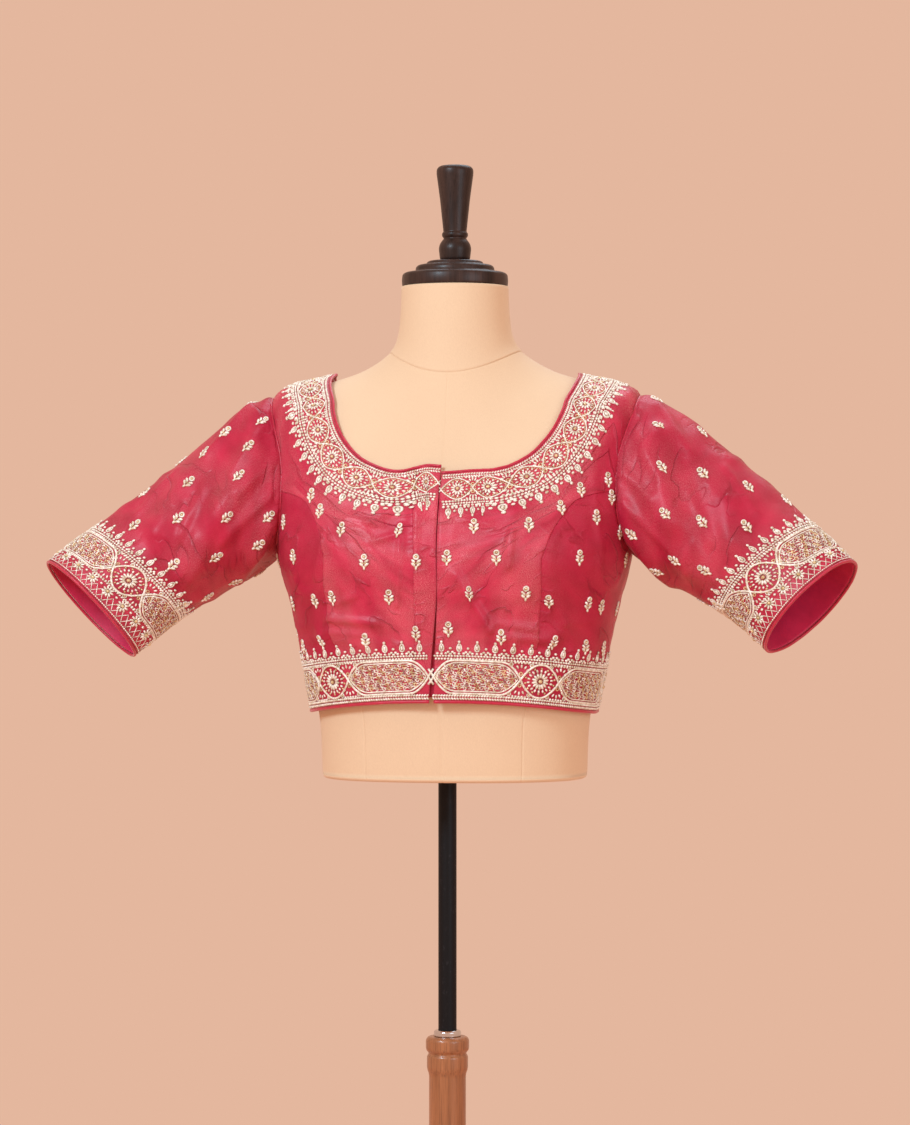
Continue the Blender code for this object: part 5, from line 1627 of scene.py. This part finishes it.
def round_tube(name, points, radius, finish, *nodes, closed=False, sides=10):
    """A cord covered in satin along some points."""
    count = len(points)
    run = headings(points, closed)
    across = unit(np.cross(run, (0.09, 0.27, 1.0)))
    above = np.cross(across, run)
    turns = evenly(sides)[:, None]
    size = radius * (1 + 0.05 * noise(points, 0.004))[:, None, None]
    rings = points[:, None] + size * (np.cos(turns) * across[:, None] + np.sin(turns) * above[:, None])
    index, faces = tube_faces(count, sides, closed)
    rings = rings.reshape(-1, 3)
    if not closed:
        ends = [rings[index[k]].mean(0) for k in (0, -1)]
        caps = []
        for ring, middle in ((index[0], len(rings)), (index[-1][::-1], len(rings) + 1)):
            for k in range(0, sides, 2):
                caps.append((ring[(k + 2) % sides], ring[(k + 1) % sides], ring[k], middle))
        rings = np.concatenate((rings, ends))
        faces = np.concatenate((faces, caps))
    placed(mesh_object(name, rings, faces, [finish]), "form", "silk_dark", *nodes)


def pipings(finish):
    """The covered cords along the edges."""
    for name, path, towards, radius in (
        ("neck", neckline(), 1, NECK_PIPING_RADIUS),
        ("hem", hem_round(), -1, HEM_PIPING_RADIUS),
    ):
        path = spaced(path, round(lengths(path)[-1] / PIPING_STEP))
        angle, row = walk(path, -across_heading(path, towards), radius + SEAM_GAP)
        round_tube("cord_" + name, skin(angle, row, WALL / 2), radius, finish, name + "_piping")
    for side, name in SIDES:
        points = sleeve_skin(side, evenly(150), 1.0, WALL / 2)
        points = points + sleeve_frame(side)[0] * (CUFF_PIPING_RADIUS + SEAM_GAP)
        node = "cuff_piping_" + name
        round_tube("cord_cuff_" + name, points, CUFF_PIPING_RADIUS, finish, node, closed=True)


def armhole_rolls(finish):
    """The seam allowances turned out under the armhole seams."""
    for side, name in SIDES:
        rim = armhole_at(evenly(120), side)
        points = cloth_point(rim[:, 0], rim[:, 1], WALL + ROLL_LIFT)
        round_tube("armhole_roll_" + name, points, ROLL_RADIUS, finish, closed=True)


# The cover's seams: their angles, the row of the one round the neck, and how deep they dip
COVER_SEAMS = (0, 32.5, 147.5, 180, 212.5, 327.5)
NECK_SEAM = 11.0
COVER_SEAM_DIP = 0.0005


def torso(finish):
    """The dress form under its cover, with the cover's seams."""
    seams = np.radians(COVER_SEAMS)
    even = np.linspace(0, 2 * math.pi, 109)[:-1]
    beside = (seams[:, None] + np.array((-0.016, -0.008, -0.004, 0, 0.004, 0.008, 0.016))).ravel()
    clear = [a for a in even if np.min(np.abs(beside - a)) > 0.012 and abs(a) > 0.02]
    angles = np.sort(np.mod(np.concatenate((clear, beside)), 2 * math.pi))
    beside_ring = NECK_SEAM + np.array((-0.06, -0.035, -0.015, 0, 0.015, 0.035, 0.07))
    rows = np.concatenate((np.linspace(0, NECK_SEAM - 0.1, 84), beside_ring,
                           np.linspace(NECK_SEAM + 0.12, len(SECTIONS) - 1, 28)))
    points = form_point(angles[:, None], rows[None])
    out = form_normal(angles[:, None], rows[None])
    gap = np.abs(np.mod(angles[:, None] - seams[None] + math.pi, 2 * math.pi) - math.pi)
    groove = -COVER_SEAM_DIP * bump(gap.min(1), 0.0050)[:, None]
    centre = np.abs(gap[:, 0]) < 0.05
    high = 1 - smooth_step(rows, 4.0, 5.0)
    fade = np.where(centre[:, None], 1 - 0.4 * smooth_step(rows, 4.0, 5.0)[None], high[None])
    fade = fade * (rows < NECK_SEAM)
    ring = 0.0005 * smooth_step(rows, NECK_SEAM, NECK_SEAM + 0.04) - 0.0006 * bump(rows, 0.018, NECK_SEAM)
    ring = np.where(rows > NECK_SEAM + 0.04, 0.0005 * (1 - smooth_step(rows, 11.2, 12.0)), ring)
    relief = groove * fade + ring[None] + 0.00012 * noise(points, 0.013)
    points = points + out * relief[..., None]
    first = points[:, 0].copy()
    inward = unit(first - first.mean(0))
    edge = []
    for step in range(5):
        turn = math.radians(90 * (1 - step / 4))
        rise = (0, 0, BOTTOM_ROUND * (1 - math.sin(turn)))
        edge.append(first - inward * BOTTOM_ROUND * (1 - math.cos(turn)) + rise)
    lift = points[:, :6, 2] - first[:, None, 2]
    points[:, :6, 2] = first[:, None, 2] + np.maximum(lift, BOTTOM_ROUND + 0.0004 * np.arange(6))
    rings = np.concatenate((np.stack(edge, 1), points), 1)
    columns, count = rings.shape[:2]
    index = np.arange(columns * count).reshape(columns, count)
    beside = np.roll(index, -1, 0)
    faces = wall_faces(index, beside)
    verts = rings.reshape(-1, 3)
    low = len(verts)
    verts = np.concatenate((verts, rings[:, 0].mean(0)[None], rings[:, -1].mean(0)[None]))
    caps = [(beside[i, 0], index[i, 0], low) for i in range(columns)]
    caps += [(index[i, -1], beside[i, -1], low + 1) for i in range(columns)]
    faces = np.concatenate((faces[:, (0, 1, 2)], faces[:, (0, 2, 3)], caps))
    placed(mesh_object("form_body", verts, faces, [finish]), "form", "jersey", "form_torso")


def rounded(profile, reach):
    """A profile with its corners rounded over a reach."""
    points = [np.array(p, float) for p in profile]
    made = [points[0]]
    for before, here, after in zip(points, points[1:], points[2:]):
        back_way = before - here
        on_way = after - here
        near = min(reach, 0.48 * np.linalg.norm(back_way), 0.48 * np.linalg.norm(on_way))
        start = here + unit(back_way) * near
        end = here + unit(on_way) * near
        for t in np.linspace(0, 1, 6):
            made.append((1 - t) ** 2 * start + 2 * t * (1 - t) * here + t * t * end)
    made.append(points[-1])
    return np.array(made)


def turned(name, profile, reach, finish, node, body, slot, centre=(0, 0, 0)):
    """A turned piece, dense and smooth, in place of its node."""
    line = rounded(profile, reach)
    turns = evenly(TURNED_STEPS)[:, None]
    radius = np.maximum(line[:, 0], 0.00002)
    high = np.broadcast_to(line[:, 1], (TURNED_STEPS, len(line)))
    rings = np.stack((np.cos(turns) * radius, np.sin(turns) * radius, high), -1) + centre
    index = np.arange(TURNED_STEPS * len(line)).reshape(TURNED_STEPS, len(line))
    faces = wall_faces(index, np.roll(index, -1, 0))[:, ::-1]
    placed(mesh_object(name, rings, faces, [finish]), body, slot, node)


def stand_and_turnings():
    """The cap, handle, pole, ferrule, column and base."""
    dark = wood("dark_wood", (0.018, 0.009, 0.007), (0.050, 0.026, 0.020), 0.40, 0.03, 0.25)
    honey = wood("honey_wood", (0.26, 0.095, 0.035), (0.41, 0.160, 0.064), 0.36, 0.35)
    black = metal("black_metal", (0.004, 0.004, 0.005), 0.44, 0.0, 4, 0.2)
    chrome = metal("chrome", (0.65, 0.65, 0.66), 0.12, 1.0, 1.2)
    turned("turned_cap", CAP_PROFILE, 0.0022, dark, "neck_cap", "form", "dark_wood", FORM_AXIS)
    turned("turned_finial", FINIAL_PROFILE, 0.0034, dark, "finial", "form", "dark_wood", FORM_AXIS)
    pole = ((0, POLE_TOP), (POLE_RADIUS, POLE_TOP), (POLE_RADIUS, POLE_BOTTOM), (0, POLE_BOTTOM))
    turned("drawn_pole", pole, 0.0006, black, "pole", "form", "black_metal")
    bore = POLE_RADIUS + POLE_CLEAR
    low = COLUMN_TOP + SEAM_GAP
    ferrule = ((bore, low + FERRULE_HEIGHT), (FERRULE_RADIUS - 0.0015, low + FERRULE_HEIGHT),
               (FERRULE_RADIUS, low + FERRULE_HEIGHT - 0.0015), (FERRULE_RADIUS, low), (bore, low),
               (bore, low + FERRULE_HEIGHT))
    turned("chrome_ferrule", ferrule, 0.0005, chrome, "ferrule", "stand", "chrome")
    column = ((bore, COLUMN_TOP), *COLUMN_PROFILE, (0, COLUMN_PROFILE[-1][1]), (0, BORE_BOTTOM),
              (bore, BORE_BOTTOM), (bore, COLUMN_TOP))
    turned("turned_column", column, 0.0032, honey, "column", "stand", "honey_wood")
    turned("turned_base", BASE_PROFILE, 0.004, honey, "base", "stand", "honey_wood")


def camera():
    """The photograph's camera."""
    data = bpy.data.cameras.new("camera")
    data.sensor_width = SENSOR
    data.lens = SENSOR * CAMERA_DISTANCE / FRAME_HEIGHT
    made = bpy.data.objects.new("camera", data)
    made.location = (
        FORM_AXIS[0] + CAMERA_DISTANCE * math.sin(CAMERA_TURN),
        FORM_AXIS[1] - CAMERA_DISTANCE * math.cos(CAMERA_TURN),
        CAMERA_HEIGHT,
    )
    made.rotation_euler = (math.pi / 2, 0, CAMERA_TURN)
    bpy.context.scene.collection.objects.link(made)
    bpy.context.scene.camera = made


def light(name, place, size, power, colour):
    """A soft box aimed at the form."""
    data = bpy.data.lights.new(name, "AREA")
    data.shape = "DISK"
    data.size = size
    data.energy = power
    data.color = colour
    made = bpy.data.objects.new(name, data)
    made.location = place
    way = mathutils.Vector(LIGHT_AIM) - mathutils.Vector(place)
    made.rotation_euler = way.to_track_quat("-Z", "Y").to_euler()
    bpy.context.scene.collection.objects.link(made)


def studio():
    """Peach air and floor, and the soft boxes."""
    world = bpy.data.worlds.new("studio")
    world.use_nodes = True
    world.node_tree.nodes["Background"].inputs["Color"].default_value = (*PEACH, 1)
    bpy.context.scene.world = world
    bpy.context.scene.view_settings.view_transform = "Standard"
    for name, place, size, power, colour in LIGHTS:
        light(name, place, size, power, colour)
    rim = [(FLOOR_RADIUS * math.cos(t), FLOOR_RADIUS * math.sin(t), -FLOOR_DROP) for t in evenly(FLOOR_SIDES)]
    mesh = bpy.data.meshes.new("floor")
    mesh.from_pydata(rim, [], [tuple(range(FLOOR_SIDES))])
    floor = bpy.data.objects.new("floor", mesh)
    matt = Finish("floor", PEACH, 0.75)
    pale = tuple(min(1, c * 1.03) for c in PEACH)
    mesh.materials.append(matt.done(Base_Color=matt.blended(matt.speckle(EVEN, 60, 4), PEACH, pale)))
    bpy.context.scene.collection.objects.link(floor)


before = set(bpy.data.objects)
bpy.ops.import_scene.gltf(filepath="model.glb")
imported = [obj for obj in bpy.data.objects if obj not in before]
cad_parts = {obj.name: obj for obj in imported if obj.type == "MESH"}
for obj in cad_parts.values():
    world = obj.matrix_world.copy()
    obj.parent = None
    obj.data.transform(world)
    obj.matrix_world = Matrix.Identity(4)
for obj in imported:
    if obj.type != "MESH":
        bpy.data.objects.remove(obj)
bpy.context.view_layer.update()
camera()
studio()
# The fronts' silk is the painted lit copy. The sleeves' and the sides' silks are painted shaded copies, the
# sides' also rougher, and the underlap behind the opening takes the sides' painted shaded copy.
crimson, shaded, matte_shaded_silk = (silk(*row) for row in SILKS)
inside = lining()
fronts([crimson, inside], [matte_shaded_silk, inside])
placket([crimson, inside])
underlap([matte_shaded_silk, inside])
back([crimson, inside])
sleeves([shaded, inside])
threads = [thread(*row) for row in THREADS]
borders(threads)
butis(threads)
satin_red = satin("satin", (0.42, 0.004, 0.030), (0.58, 0.010, 0.052))
pipings(satin_red)
armhole_rolls(satin_red)
torso(jersey())
stand_and_turnings()
